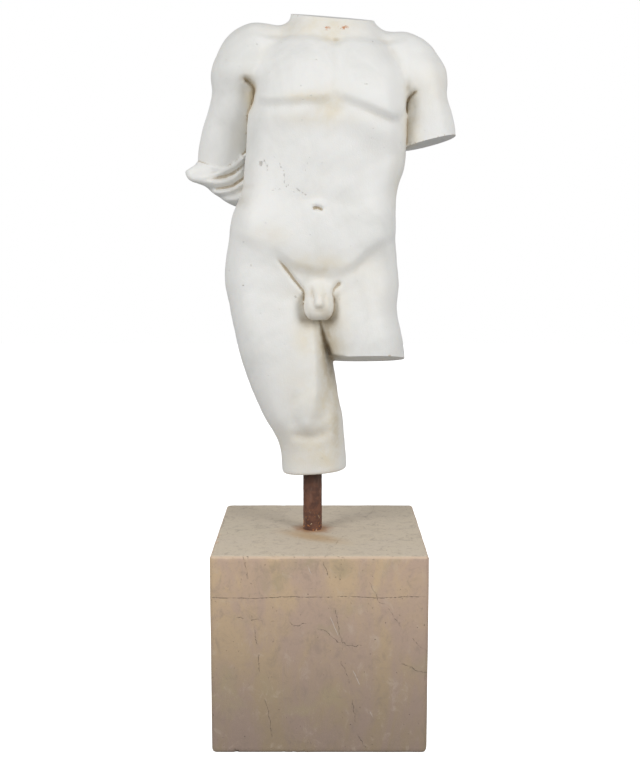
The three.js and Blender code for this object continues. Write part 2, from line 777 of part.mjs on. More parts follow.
function blockGeometry() {
  const half = BLOCK_SIDE / 2;
  const bend = half - BLOCK_CORNER;
  const outline = new THREE.Shape();
  for (const [x, y, turn] of [
    [bend, bend, 0],
    [-bend, bend, 0.5],
    [-bend, -bend, 1],
    [bend, -bend, 1.5],
  ])
    outline.absarc(x, y, BLOCK_CORNER, turn * Math.PI, (turn + 0.5) * Math.PI, false);
  outline.closePath();
  return new THREE.ExtrudeGeometry(outline, {
    depth: BLOCK_HEIGHT - 2 * BLOCK_CHAMFER,
    curveSegments: 5,
    bevelThickness: BLOCK_CHAMFER,
    bevelSize: BLOCK_CHAMFER,
    bevelOffset: -BLOCK_CHAMFER,
    bevelSegments: 2,
  }).translate(0, 0, BLOCK_CHAMFER);
}

const drilledBlock = toGeometry(toSolid(blockGeometry()).subtract(socketDrill));

// ---- Scene ----

const marble = new THREE.MeshStandardMaterial({ color: 0xe4e1d8, roughness: 0.6, metalness: 0 });
const rustyIron = new THREE.MeshStandardMaterial({ color: 0x5c3a30, roughness: 0.85, metalness: 0.4 });
const blockStone = new THREE.MeshStandardMaterial({ color: 0xb5a08c, roughness: 0.8, metalness: 0 });

function piece(name, geometry, material) {
  const mesh = new THREE.Mesh(geometry, material);
  mesh.name = name;
  return mesh;
}

const sculpture = new THREE.Group();
sculpture.add(piece("torso", torsoGeometry, marble));
sculpture.add(piece("rod", rodGeometry, rustyIron));
sculpture.add(piece("plinth", drilledBlock, blockStone));

export default sculpture;
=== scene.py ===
"""Marble torso of a standing man, carried by a rusty iron rod on a cube of stone."""

import bpy
import numpy as np
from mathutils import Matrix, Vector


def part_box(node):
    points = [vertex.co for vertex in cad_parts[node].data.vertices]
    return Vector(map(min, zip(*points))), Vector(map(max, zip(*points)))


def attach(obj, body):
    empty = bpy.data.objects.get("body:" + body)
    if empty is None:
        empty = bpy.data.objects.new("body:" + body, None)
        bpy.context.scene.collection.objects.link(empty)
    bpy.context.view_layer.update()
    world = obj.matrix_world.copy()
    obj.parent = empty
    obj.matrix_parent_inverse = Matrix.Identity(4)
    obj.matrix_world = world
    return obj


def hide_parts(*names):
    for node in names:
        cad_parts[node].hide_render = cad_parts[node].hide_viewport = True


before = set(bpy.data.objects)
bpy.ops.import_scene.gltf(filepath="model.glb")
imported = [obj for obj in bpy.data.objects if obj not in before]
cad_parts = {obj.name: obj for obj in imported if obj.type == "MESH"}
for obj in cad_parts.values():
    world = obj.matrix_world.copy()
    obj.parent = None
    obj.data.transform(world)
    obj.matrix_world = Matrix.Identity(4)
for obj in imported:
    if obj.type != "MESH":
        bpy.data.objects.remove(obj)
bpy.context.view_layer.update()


# ---------------------------------------------------------------- stone block
# A solid cube of pinkish-tan limestone, about 42 cm each way, sawn and rubbed smooth. Its upright
# edges are rounded off, its top edge has a small bevel that has worn pale, and the rod has left a
# rust stain around its foot and a streak where the water ran off.

block_low, block_high = (np.array(corner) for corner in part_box("plinth"))
BLOCK_CORNER = 0.010
BLOCK_BEVEL = 0.006


def ripple(points, period, seed):
    """Smooth random wave between about -1 and 1: the mean of seven sines that run in random directions,
    each with a wavelength near the period."""
    chance = np.random.default_rng(seed)
    total = np.zeros(len(points))
    for _ in range(7):
        way = chance.normal(size=3)
        way *= 2 * np.pi / (period * chance.uniform(0.7, 1.4) * np.linalg.norm(way))
        total += np.sin(points @ way + chance.uniform(0, 2 * np.pi))
    return total / 3.5


def ring_faces(rings, around):
    """Quads between closed rings of points: ring r joins ring r + 1, and the last column joins the first."""
    r = np.arange(rings - 1)[:, None] * around
    c = np.arange(around)[None, :]
    n = (c + 1) % around
    return np.stack([r + c, r + n, r + around + n, r + around + c], axis=-1).reshape(-1, 4)


def mesh_piece(name, points, quads, caps=()):
    """A mesh object at the origin, from its points in metres, its quads, and fans that close its ends."""
    mesh = bpy.data.meshes.new(name)
    mesh.from_pydata(points.tolist(), [], quads.tolist() + [list(cap) for cap in caps])
    mesh.validate()
    mesh.polygons.foreach_set("use_smooth", np.ones(len(mesh.polygons), dtype=bool))
    piece = bpy.data.objects.new(name, mesh)
    bpy.context.scene.collection.objects.link(piece)
    return piece


def block_outline(per_side):
    """Rounded square as unit steps: each side's points are evenly spaced, and each corner is a quarter
    circle. Returned as the straight part's place and the direction in which the corner bulges."""
    bend = (block_high - block_low)[:2] / 2 - BLOCK_CORNER
    turn = np.linspace(0, np.pi / 2, 7)
    straight = np.linspace(1, -1, per_side)[1:-1]
    places, bulges = [], []
    for quarter in range(4):
        angle = turn + quarter * np.pi / 2
        corner = np.sign([np.cos(angle.mean()), np.sin(angle.mean())])
        after = np.array([[0, -1], [1, 0]]) @ corner
        middle, half = (corner + after) / 2, (corner - after) / 2
        places += [np.repeat([corner], 7, axis=0), middle + straight[:, None] * half]
        bulges += [np.stack([np.cos(angle), np.sin(angle)], 1), np.repeat([middle], per_side - 2, axis=0)]
    return np.concatenate(places) * bend, np.concatenate(bulges)


def block_mesh():
    """The outline carried up a profile: from the middle of the underside out to the bevel, up the side,
    over the top bevel and in to the middle of the top. Saw waves and chips move the points inwards."""
    places, bulges = block_outline(84)
    height = block_high[2] - block_low[2]
    inward = np.linspace(0.02, 1, 44)[:-1]
    bevel = np.array([0.0, 0.35, 0.75, 1.0])
    side = np.linspace(BLOCK_BEVEL, height - BLOCK_BEVEL, 80)[1:-1]
    shrink = np.concatenate([inward, np.ones(len(side) + 2 * len(bevel)), inward[::-1]])
    flare = np.concatenate([0 * inward, bevel, np.ones(len(side)), bevel[::-1], 0 * inward])
    rise = np.concatenate([0 * inward, BLOCK_BEVEL * (1 - np.sqrt(1 - bevel**2)), side])
    rise = np.concatenate([rise, height - rise[: len(inward) + len(bevel)][::-1]])
    reach = BLOCK_CORNER - BLOCK_BEVEL + BLOCK_BEVEL * flare
    flat = shrink[:, None, None] * (places + bulges * reach[:, None, None])
    points = np.concatenate([flat, np.broadcast_to(rise[:, None, None], flat.shape[:2] + (1,))], axis=2)
    rings, around = points.shape[:2]
    points = points.reshape(-1, 3)
    middle = np.array([0, 0, height / 2])
    box = np.array([block_high[0], block_high[1], height / 2])
    edge = np.sort(np.abs(points - middle) / box, axis=1)[:, 1]
    wear = np.clip((edge - 0.962) / 0.03, 0, 1)
    chip = np.clip(ripple(points, 0.021, 5) * ripple(points, 0.055, 8) - 0.36, 0, 1) * wear * 0.007
    away = np.clip(0.5 + 0.5 * ripple(points, 0.09, 7), 0, 1) * 0.0004
    points = middle + (points - middle) * (1 - (chip + away)[:, None] / box.min())
    points[:, 2] = np.clip(points[:, 2], 0, height) + block_low[2]
    caps = [np.arange(around)[::-1], (rings - 1) * around + np.arange(around)]
    return mesh_piece("stone_block", points, ring_faces(rings, around), caps)


class Nodes:
    """Short way to wire a node tree: each call adds a node, fills its inputs and returns its output."""

    def __init__(self, tree):
        self.tree = tree

    def add(self, kind, output=0, inputs=(), **settings):
        node = self.tree.nodes.new("ShaderNode" + kind)
        for key, value in settings.items():
            setattr(node, key, value)
        for key, value in dict(inputs).items():
            if isinstance(value, bpy.types.NodeSocket):
                self.tree.links.new(value, node.inputs[key])
            else:
                node.inputs[key].default_value = value
        return node.outputs[output]

    def math(self, operation, a, b=0.0, clamp=False):
        return self.add("Math", inputs={0: a, 1: b}, operation=operation, use_clamp=clamp)

    def spread(self, value, low, high, to_low=0.0, to_high=1.0):
        found = {0: value, 1: low, 2: high, 3: to_low, 4: to_high}
        return self.add("MapRange", inputs=found, interpolation_type="SMOOTHSTEP")

    def noise(self, where, scale, detail=3.0, rough=0.5, warp=0.0, output="Fac"):
        found = {"Vector": where, "Scale": scale, "Detail": detail, "Roughness": rough, "Distortion": warp}
        return self.add("TexNoise", output, found)

    def stretch(self, where, scale=(1, 1, 1), place=(0, 0, 0), turn=(0, 0, 0)):
        found = {"Vector": where, "Location": place, "Rotation": turn, "Scale": scale}
        return self.add("Mapping", inputs=found)

    def blend(self, factor, under, over):
        under, over = (c if isinstance(c, bpy.types.NodeSocket) else (*c, 1.0) for c in (under, over))
        return self.add("Mix", 2, {0: factor, 6: under, 7: over}, data_type="RGBA")


def new_group(name, takes, gives):
    """An empty shader group with named inputs (socket type, default) and named outputs."""
    group = bpy.data.node_groups.new(name, "ShaderNodeTree")
    for label, (kind, default) in takes.items():
        socket = group.interface.new_socket(label, in_out="INPUT", socket_type="NodeSocket" + kind)
        if default is not None:
            socket.default_value = default
    for label, kind in gives.items():
        group.interface.new_socket(label, in_out="OUTPUT", socket_type="NodeSocket" + kind)
    return group, group.nodes.new("NodeGroupInput"), group.nodes.new("NodeGroupOutput")


def crack_group():
    """Crack on a warped plane: dark where the warped distance to the plane is near zero, broken up by a
    second noise so that the line comes and goes."""
    takes = {
        "Vector": ("Vector", None),
        "Normal": ("Vector", (0.0, 0.0, 1.0)),
        "Offset": ("Float", 0.0),
        "Width": ("Float", 0.001),
        "Waves": ("Float", 0.01),
        "Gaps": ("Float", 0.5),
    }
    group, given, result = new_group("crack", takes, {"Mask": "Float"})
    n = Nodes(group)
    pair = {0: given.outputs["Vector"], 1: given.outputs["Normal"]}
    along = n.add("VectorMath", 1, pair, operation="DOT_PRODUCT")
    big = n.math("SUBTRACT", n.noise(given.outputs["Vector"], 9.0, 4.0, 0.62), 0.5)
    away = n.math("ABSOLUTE", n.math("ADD", n.math("SUBTRACT", along, given.outputs["Offset"]),
                                     n.math("MULTIPLY", big, given.outputs["Waves"])))
    line = n.spread(away, 0.0, given.outputs["Width"], 1.0, 0.0)
    gaps = n.spread(n.noise(given.outputs["Vector"], 23.0, 3.0, 0.6), given.outputs["Gaps"],
                    n.math("ADD", given.outputs["Gaps"], 0.07))
    group.links.new(n.math("MULTIPLY", line, gaps), result.inputs["Mask"])
    return group


def grain_group():
    """Fine grain of sawn or rubbed stone and of pitted iron: two noises of different size, mixed, given as
    a mask from 0 to 1."""
    takes = {"Vector": ("Vector", None), "Scale": ("Float", 400.0), "Coarse": ("Float", 0.4)}
    group, given, result = new_group("grain", takes, {"Mask": "Float"})
    n = Nodes(group)
    fine = n.noise(given.outputs["Vector"], given.outputs["Scale"], 2.0, 0.6)
    coarse = n.noise(given.outputs["Vector"], n.math("MULTIPLY", given.outputs["Scale"], 0.17), 3.0, 0.6)
    part = n.math("MULTIPLY", coarse, given.outputs["Coarse"])
    rest = n.math("MULTIPLY", fine, n.math("SUBTRACT", 1.0, given.outputs["Coarse"]))
    group.links.new(n.math("ADD", part, rest), result.inputs["Mask"])
    return group


crack = crack_group()
grain = grain_group()


def new_material(name, color, roughness):
    """A material whose Principled shader has plain starting values; returns it with its node helper."""
    material = bpy.data.materials.new(name)
    material.use_nodes = True
    shader = material.node_tree.nodes["Principled BSDF"]
    shader.inputs["Base Color"].default_value = (*color, 1.0)
    shader.inputs["Roughness"].default_value = roughness
    return material, Nodes(material.node_tree), shader


def finish_material(n, shader, color, roughness, height, depth):
    """Feeds the shader: colour, roughness, and a bump from the height, whose full depth is in metres."""
    n.tree.links.new(color, shader.inputs["Base Color"])
    n.tree.links.new(roughness, shader.inputs["Roughness"])
    bump = n.add("Bump", inputs={"Strength": 1.0, "Distance": depth, "Height": height})
    n.tree.links.new(bump, shader.inputs["Normal"])


def stone_material():
    """Clouds of pink-grey over tan, darker low down as partly painted shade, a top face made paler as
    painted light, a pale worn bevel, thin dark cracks, pits, pale scratches and rust.
    """
    material, n, shader = new_material("tan_limestone", (0.4, 0.32, 0.25), 0.6)
    where = n.add("TexCoord", "Object")
    z = n.add("SeparateXYZ", 2, {"Vector": where})
    up = n.add("SeparateXYZ", 2, {"Vector": n.add("NewGeometry", "Normal")})
    clouds = n.noise(n.stretch(where, turn=(0.1, 0.1, 0.2), scale=(1.0, 1.0, 0.38)), 11.0, 6.0, 0.62, 0.6)
    patches = n.noise(n.stretch(where, place=(0.4, 0.2, 0.7)), 6.5, 5.0, 0.6, 0.5)
    # Darker towards the bottom: partly painted shade for the light that falls off downwards, partly a deeper
    # stone colour low down.
    low = n.spread(z, 0.0, 0.40)
    tan = n.blend(low, (0.365, 0.278, 0.188), (0.640, 0.470, 0.300))
    pink = n.blend(low, (0.365, 0.272, 0.220), (0.565, 0.412, 0.315))
    color = n.blend(n.spread(clouds, 0.40, 0.60), tan, pink)
    color = n.blend(n.math("MULTIPLY", n.spread(patches, 0.53, 0.68), 0.6), color, (0.42, 0.345, 0.215))
    top = n.spread(up, 0.75, 0.95)
    # Painted light: the upward-facing top is made paler, for the light the lamps throw down on it.
    color = n.blend(n.math("MULTIPLY", top, 0.85), color, (0.720, 0.635, 0.505))
    mottle = n.noise(n.stretch(where, place=(0.1, 0.5, 0.3), scale=(1.0, 1.0, 0.7)), 38.0, 7.0, 0.72, 0.8)
    color = n.blend(n.math("MULTIPLY", n.spread(mottle, 0.50, 0.72), 0.42), color, (0.285, 0.225, 0.180))
    color = n.blend(n.math("MULTIPLY", n.spread(mottle, 0.46, 0.30), 0.30), color, (0.66, 0.56, 0.45))
    speckle = n.noise(where, 120.0, 4.0, 0.7)
    color = n.blend(n.math("MULTIPLY", n.spread(speckle, 0.52, 0.70), 0.35), color, (0.40, 0.31, 0.24))
    bevel = n.math("MULTIPLY", n.spread(up, 0.25, 0.5), n.spread(up, 0.93, 0.8))
    color = n.blend(n.math("MULTIPLY", bevel, 0.8), color, (0.70, 0.54, 0.40))

    # Rows of a plane's normal and offset, then width, waves and breaks; the last is a pale scratch.
    cracks = [
        ((0.0, 0.10, 1.0), 0.293, 0.0012, 0.016, 0.36),
        ((0.34, 0.15, 1.0), 0.205, 0.0010, 0.100, 0.46),
        ((1.0, 0.25, 0.12), -0.145, 0.0008, 0.040, 0.50),
        ((1.0, -0.30, 0.20), 0.150, 0.0009, 0.060, 0.46),
        ((0.72, 0.20, 0.7), 0.262, 0.0008, 0.080, 0.50),
        ((0.25, 1.0, -0.20), 0.050, 0.0010, 0.085, 0.48),
        ((1.0, 0.10, 0.42), 0.115, 0.0009, 0.012, 0.54),
    ]
    lines, scratch = 0.0, 0.0
    for values in cracks:
        found = {"Vector": where, **dict(zip(("Normal", "Offset", "Width", "Waves", "Gaps"), values))}
        lines, scratch = n.math("MAXIMUM", lines, scratch), n.add("Group", "Mask", found, node_tree=crack)
    dotted = n.spread(n.noise(where, 190.0, 2.0, 0.6), 0.38, 0.60, 0.25, 1.0)
    lines = n.math("MULTIPLY", lines, dotted)
    faint = n.math("MULTIPLY", lines, n.math("SUBTRACT", 0.55, n.math("MULTIPLY", top, 0.34)))
    color = n.blend(faint, color, (0.16, 0.115, 0.09))
    color = n.blend(n.math("MULTIPLY", scratch, 0.6), color, (0.78, 0.76, 0.74))
    pits = n.spread(n.noise(where, 210.0, 1.0, 0.5), 0.735, 0.78)
    color = n.blend(n.math("MULTIPLY", pits, 0.6), color, (0.12, 0.085, 0.065))

    spot = n.stretch(where, place=(0.0145, 0, 0), scale=(1.0, 1.0, 0.0))
    near = n.add("VectorMath", 1, {0: spot}, operation="LENGTH")
    wobble = n.math("MULTIPLY", n.math("SUBTRACT", n.noise(where, 45.0, 4.0, 0.6), 0.5), 0.03)
    halo = n.math("MULTIPLY", n.spread(n.math("ADD", near, wobble), 0.052, 0.018), top)
    color = n.blend(n.math("MULTIPLY", halo, 0.8), color, (0.42, 0.185, 0.060))
    streak_at = n.stretch(where, place=(-0.026, 0.062, 0), turn=(0, 0, 0.62))
    streak_size = n.add("VectorMath", 0, {0: streak_at, 1: (8.6, 25.0, 0.0)}, operation="MULTIPLY")
    streak_far = n.add("VectorMath", 1, {0: streak_size}, operation="LENGTH")
    streak_far = n.math("ADD", streak_far, n.math("MULTIPLY", wobble, 14.0))
    streak = n.math("MULTIPLY", n.spread(streak_far, 1.0, 0.1), top)
    color = n.blend(n.math("MULTIPLY", streak, 0.55), color, (0.56, 0.34, 0.13))

    pores = n.add("Group", "Mask", {"Vector": where, "Scale": 520.0}, node_tree=grain)
    rough = n.spread(pores, 0.2, 0.8, 0.50, 0.72)
    dents = n.math("SUBTRACT", pores, n.math("MULTIPLY", n.math("MAXIMUM", lines, pits), 2.0))
    finish_material(n, shader, color, rough, dents, 0.0006)
    return material


block = block_mesh()
block.data.materials.append(stone_material())
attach(block, "root")
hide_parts("plinth")


# ---------------------------------------------------------------- iron rod
# A round bar of mild steel, about 39 mm thick, let into a hole in the block and into the leg of the
# torso. It is rusted all over: brown-red scale, darker where it goes up into the marble, with bright
# orange and cream specks near its foot.

rod_low, rod_high = (np.array(corner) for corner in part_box("rod"))


def rod_mesh():
    """Circle carried straight up, with small steps at both ends as a bevel. Scale makes the radius less by
    up to 0.7 mm, from two random waves."""
    around = 96
    radius = (rod_high[0] - rod_low[0]) / 2
    middle = (rod_high[:2] + rod_low[:2]) / 2
    heights = np.linspace(rod_low[2] + 0.002, rod_high[2] - 0.002, 120)
    heights = np.concatenate([[rod_low[2]] * 2, heights, [rod_high[2]] * 2])
    share = np.ones(len(heights))
    share[[0, -1]] = 0.3
    share[[1, -2]] = 0.92
    turn = np.linspace(0, 2 * np.pi, around, endpoint=False)
    ring = np.stack([np.cos(turn), np.sin(turn)], 1)
    flat = share[:, None, None] * ring * radius
    points = np.concatenate([flat, np.broadcast_to(heights[:, None, None], flat.shape[:2] + (1,))], axis=2)
    points = points.reshape(-1, 3)
    pitted = np.clip(0.5 + 0.5 * ripple(points, 0.011, 11) + 0.3 * ripple(points, 0.03, 12), 0, 1) * 0.00025
    points[:, :2] *= 1 - pitted[:, None] / radius
    points[:, :2] += middle
    rings = len(heights)
    caps = [np.arange(around)[::-1], (rings - 1) * around + np.arange(around)]
    return mesh_piece("iron_rod", points, ring_faces(rings, around), caps)


def rust_material():
    """Brown-red scale, clouded with darker and purplish rust, paler dust, and bright specks low down."""
    material, n, shader = new_material("rusty_iron", (0.12, 0.06, 0.04), 0.8)
    where = n.add("TexCoord", "Object")
    z = n.add("SeparateXYZ", 2, {"Vector": where})
    clouds = n.noise(where, 55.0, 5.0, 0.62, 0.3)
    color = n.blend(n.spread(clouds, 0.35, 0.65), (0.088, 0.036, 0.023), (0.185, 0.082, 0.050))
    dust = n.noise(n.stretch(where, place=(0.3, 0.1, 0.0), scale=(1, 1, 0.35)), 38.0, 4.0, 0.6)
    color = n.blend(n.math("MULTIPLY", n.spread(dust, 0.52, 0.70), 0.55), color, (0.26, 0.165, 0.125))
    color = n.blend(n.spread(z, 0.475, 0.515, 0.0, 0.72), color, (0.045, 0.022, 0.016))
    low = n.spread(z, 0.455, 0.398)
    flakes = n.noise(n.stretch(where, place=(0.0, 0.6, 0.2)), 170.0, 3.0, 0.6, 0.8)
    color = n.blend(n.math("MULTIPLY", n.spread(flakes, 0.60, 0.64), low), color, (0.52, 0.20, 0.05))
    cream = n.noise(n.stretch(where, place=(0.7, 0.0, 0.4), scale=(1, 1, 0.6)), 120.0, 2.0, 0.5, 0.6)
    cream = n.math("MULTIPLY", n.spread(cream, 0.665, 0.69), n.spread(z, 0.44, 0.402))
    color = n.blend(cream, color, (0.72, 0.55, 0.36))
    scale = n.add("Group", "Mask", {"Vector": where, "Scale": 800.0, "Coarse": 0.55}, node_tree=grain)
    rough = n.spread(clouds, 0.3, 0.7, 0.62, 0.9)
    finish_material(n, shader, color, rough, scale, 0.0012)
    return material


rod = rod_mesh()
rod.data.materials.append(rust_material())
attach(rod, "root")
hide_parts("rod")


# ---------------------------------------------------------------- marble torso
# A standing nude carved from one block of white marble and rubbed smooth, broken off and sawn flat at
# the neck, the left arm, the left thigh and the right leg. The right arm goes back and carries a fold
# of cloth. Cream and brown lie in the hollows and creases, partly dirt and partly painted shade, and
# brown patches paint the shadows under the pouch and between the parts; grey scratches and cream
# stains mark the front.

STEP = 3.4
TORSO_LOW = np.array([-290.0, -145.0, 500.0])
TORSO_HIGH = np.array([286.0, 165.0, 1450.0])


def soft_join(a, b, blend):
    """Lesser of two distances, with a fillet: a quarter of the blend lower where they are equal."""
    h = np.clip(0.5 + 0.5 * (b - a) / blend, 0, 1)
    return b + (a - b) * h - blend * h * (1 - h)


def soft_cut(a, b, blend):
    """Greater of two distances, with the edge between them rounded by the blend."""
    return -soft_join(-a, -b, blend)


def ramp(low, high, value):
    """Smooth step: 3 t^2 - 2 t^3 of the value's place between low and high."""
    t = np.clip((value - low) / (high - low), 0, 1)
    return t * t * (3 - 2 * t)


def smooth_rows(rows, station):
    """Cubic curve through rows of (station, value, value, ...), level with each row's neighbours and held
    flat past both ends. One array for each value."""
    table = np.array(sorted(rows), dtype=float)
    at, value = table[:, 0], table[:, 1:]
    before, after = np.roll(table, 1, 0), np.roll(table, -1, 0)
    before[0], after[-1] = table[0], table[-1]
    slope = (after - before)[:, 1:] / (after - before)[:, :1]
    s = np.clip(station, at[0], at[-1])
    i = np.clip(np.searchsorted(at, s) - 1, 0, len(at) - 2)
    span = at[i + 1] - at[i]
    t = (s - at[i]) / span
    here, leave = (1 + 2 * t) * (1 - t) ** 2, t * (1 - t) ** 2 * span
    there, arrive = t * t * (3 - 2 * t), t * t * (t - 1) * span
    ends = (here, value[i], leave, slope[i], there, value[i + 1], arrive, slope[i + 1])
    h, a, l, m, e, b, r, c = ends
    return [h * a[..., k] + l * m[..., k] + e * b[..., k] + r * c[..., k] for k in range(value.shape[1])]


def oval(dx, dy, a, b, power):
    """Distance to an oval of half sizes a and b, along the ray from its middle."""
    reach = (np.abs(dx / a) ** power + np.abs(dy / b) ** power) ** (1 / power)
    length = np.hypot(dx, dy)
    return length - length / np.maximum(reach, 1e-6)


def loft(rows, power, across, y, station):
    """Distance to a stack of ovals; rows of (station, centre, half width, centre y, front, back)."""
    centre, half, centre_y, front, back = smooth_rows(rows, station)
    dy = y - centre_y
    return oval(across - centre, dy, half, np.where(dy < 0, front, back), power)


def bar(x, y, z, start, end, start_size, end_size, cap):
    """Distance to a round bar between two points, whose height and depth change evenly along it."""
    start = np.array(start, dtype=float)
    along = np.array(end, dtype=float) - start
    length = np.linalg.norm(along)
    along /= length
    up = np.array([0, 0, 1.0]) - along[2] * along
    up /= np.linalg.norm(up)
    side = np.cross(along, up)
    x, y, z = x - start[0], y - start[1], z - start[2]
    s, u, v = (x * w[0] + y * w[1] + z * w[2] for w in (along, up, side))
    t = np.clip(s / length, 0, 1)
    high, deep = (p + (q - p) * t for p, q in zip(start_size, end_size))
    return soft_cut(soft_cut(oval(u, v, high, deep, 2), -s, cap), s - length, cap)


def egg(x, y, z, centre, radii):
    """Distance to an ellipsoid, by the size of its own unit distance over that distance's slope."""
    d = [(p - c) / r for p, c, r in zip((x, y, z), centre, radii)]
    reach = np.sqrt(d[0] ** 2 + d[1] ** 2 + d[2] ** 2)
    slope = np.sqrt(sum((p / r) ** 2 for p, r in zip(d, radii)))
    return reach * (reach - 1) / np.maximum(slope, 1e-9)


def half_space(x, y, z, point, facing):
    """Distance to a flat cut through a point."""
    n = np.array(facing, dtype=float) / np.linalg.norm(facing)
    return (x - point[0]) * n[0] + (y - point[1]) * n[1] + (z - point[2]) * n[2]


def furrow(x, z, width, height, *points):
    """Rounded trough or ridge along a curve through (x, z) points: height times exp(-(distance / width)^2),
    fading out at both ends."""
    line = np.array(points, dtype=float)
    line = np.vstack([2 * line[0] - line[1], line, 2 * line[-1] - line[-2]])
    nearest, place = None, None
    legs = 4 * (len(points) - 1)
    fine = []
    for i in range(1, len(line) - 2):
        a, b, c, d = line[i - 1 : i + 3]
        t = (np.arange(4) / 4)[:, None]
        square, cube = 2 * a - 5 * b + 4 * c - d, 3 * b - a - 3 * c + d
        fine.append(0.5 * (2 * b + (c - a) * t + square * t**2 + cube * t**3))
    fine = np.concatenate([*fine, line[-2:-1]])
    for i, ((x0, z0), (x1, z1)) in enumerate(zip(fine[:-1], fine[1:])):
        dx, dz = x1 - x0, z1 - z0
        t = np.clip(((x - x0) * dx + (z - z0) * dz) / (dx * dx + dz * dz), 0, 1)
        r = (x - x0 - t * dx) ** 2 + (z - z0 - t * dz) ** 2
        if nearest is None:
            nearest, place = r, (i + t) / legs
        else:
            place = np.where(r < nearest, (i + t) / legs, place)
            nearest = np.minimum(nearest, r)
    return height * np.exp(-nearest / width**2) * np.minimum(1, 6.4 * place * (1 - place))


def swell(x, z, cx, cz, rx, rz, height):
    """Rounded mound or hollow around a point."""
    return height * np.exp(-(((x - cx) / rx) ** 2) - ((z - cz) / rz) ** 2)


def ledge(x, z, rows, height, width, fade):
    """Step up across a line, dying away above it; rows of (x, z, strength)."""
    line, strength = smooth_rows(rows, x)
    above = z - line
    return height * strength * ramp(-width, width, above) * np.exp(-((np.maximum(above, 0) / fade) ** 2))


TRUNK = [
    (1400, 26, 88, 26, 66, 64), (1378, 25, 112, 20, 86, 78), (1350, 23, 134, 12, 98, 92),
    (1310, 21, 147, 6, 106, 104), (1266, 19.5, 153.5, 2, 108, 106), (1230, 16, 157.5, 0, 104, 104),
    (1185, 13.5, 158.5, -2, 96, 96), (1137, 10, 159, -4, 91, 86), (1089, 0.3, 154.2, -6, 88, 78),
    (1042, -11.3, 159.7, -6, 91, 82), (1010, -14.5, 163.5, -4, 93, 92), (978, -15.3, 168.2, -2, 92, 100),
    (946, -16.5, 171, 0, 88, 108), (905, -17, 165, 3, 82, 106), (868, -15, 146, 4, 60, 92),
    (830, -12, 110, 8, 36, 60),
]
RIGHT_LEG = [
    (970, -104, 60, 4, 60, 76), (905, -100, 85, 2, 80, 96), (849, -90.5, 89.5, 0, 86, 98),
    (800, -79.5, 90.5, -3, 87, 95), (751, -66, 93, -5, 86, 90), (701, -53, 89, -6, 82, 84),
    (668, -44.3, 84.3, -6, 78, 78), (635, -33.3, 79.3, -5, 74, 72), (602, -21.8, 71.3, -3, 68, 66),
    (568, -14, 67, 0, 62, 61), (535, -11.5, 66.5, 0, 59, 60), (500, -11, 66, 0, 58, 60),
]
LEFT_THIGH = [
    (970, 70, 58, -4, 56, 78), (905, 76, 79.5, -6, 80, 96), (849, 77.5, 78.5, -9, 86, 94),
    (800, 86.3, 79.3, -12, 88, 88), (767, 93, 78, -12, 86, 84), (735, 97, 76, -12, 84, 80),
]
NECK = [
    (1440, 24.5, 80, 20, 66, 66), (1415, 24.5, 85, 19, 72, 72), (1390, 24, 104, 18, 82, 80),
    (1350, 24, 116, 16, 84, 84),
]


def thigh_cut(x, y, z):
    """Flat saw cut through the left thigh, rising towards the back."""
    return half_space(x, y, z, (96, -95, 766), (-0.01, 0.176, 1))


def whole_left_thigh(x, y, z):
    """The left thigh before it is cut."""
    return soft_cut(loft(LEFT_THIGH, 2.4, x, y, z), z - 950, 40)


def body(x, y, z):
    """Trunk, both legs, neck and the slopes to the shoulders, joined with fillets."""
    middle = soft_cut(soft_cut(loft(TRUNK, 2.6, x, y, z), z - 1404, 30), 832 - z, 24)
    right = soft_cut(loft(RIGHT_LEG, 2.4, x, y, z), z - 950, 40)
    left = np.maximum(whole_left_thigh(x, y, z), -thigh_cut(x, y, z))
    skin = soft_join(middle, soft_join(right, left, 6), 30)
    skin = soft_join(skin, soft_cut(loft(NECK, 2.2, x, y, z), 1350 - z, 20), 18)
    skin = soft_join(skin, bar(x, y, z, (0, 34, 1375), (-134, 16, 1374), (40, 50), (36, 42), 24), 22)
    return soft_join(skin, bar(x, y, z, (50, 34, 1367), (176, 16, 1354), (45, 50), (36, 40), 24), 22)


RIGHT_ARM = [
    (1330, -148, 55, 14, 64, 58), (1280, -162, 52, 24, 58, 54), (1246, -173, 51, 32, 53, 52),
    (1215, -184.5, 51.5, 42, 49, 49), (1184, -193, 51, 50, 48, 48), (1152, -198, 51, 58, 47, 47),
    (1120, -202, 47, 66, 46, 46), (1080, -204, 45, 74, 44, 44),
]
LEFT_ARM = [
    (1330, 195, 47, 10, 60, 58), (1277, 206, 45, 8, 60, 58), (1246, 211.5, 49.5, 7, 56, 56),
    (1215, 216.5, 52.5, 7, 53, 55), (1184, 218, 54, 6, 51, 54), (1140, 219, 55, 4, 50, 53),
]
def left_arm_cut(x, y, z):
    """Flat saw cut through the left upper arm, rising outwards."""
    return half_space(x, y, z, (184, -48, 1179), (-0.25, 0.08, 1))


def whole_left_arm(x, y, z):
    """The left shoulder and upper arm before the cut."""
    cap = soft_cut(egg(x, y, z, (164, 10, 1294), (85.5, 66, 102)), 1280 - z, 40)
    return soft_join(soft_cut(loft(LEFT_ARM, 2.2, x, y, z), z - 1330, 24), cap, 26)


def add_arms(skin, x, y, z):
    """Joins the arms on: closely at the ribs, and with a broad fillet over the shoulders."""
    cap = soft_cut(egg(x, y, z, (-129, 12, 1300), (84.5, 68, 114)), 1290 - z, 40)
    limb = soft_cut(soft_cut(loft(RIGHT_ARM, 2.1, x, y, z), z - 1330, 24), 1118 - z, 24)
    left = np.maximum(whole_left_arm(x, y, z), -left_arm_cut(x, y, z))
    skin = soft_join(skin, soft_join(limb, cap, 26), 3 + 17 * ramp(1262, 1310, z))
    return soft_join(skin, left, 2.5 + 17 * ramp(1245, 1295, z))


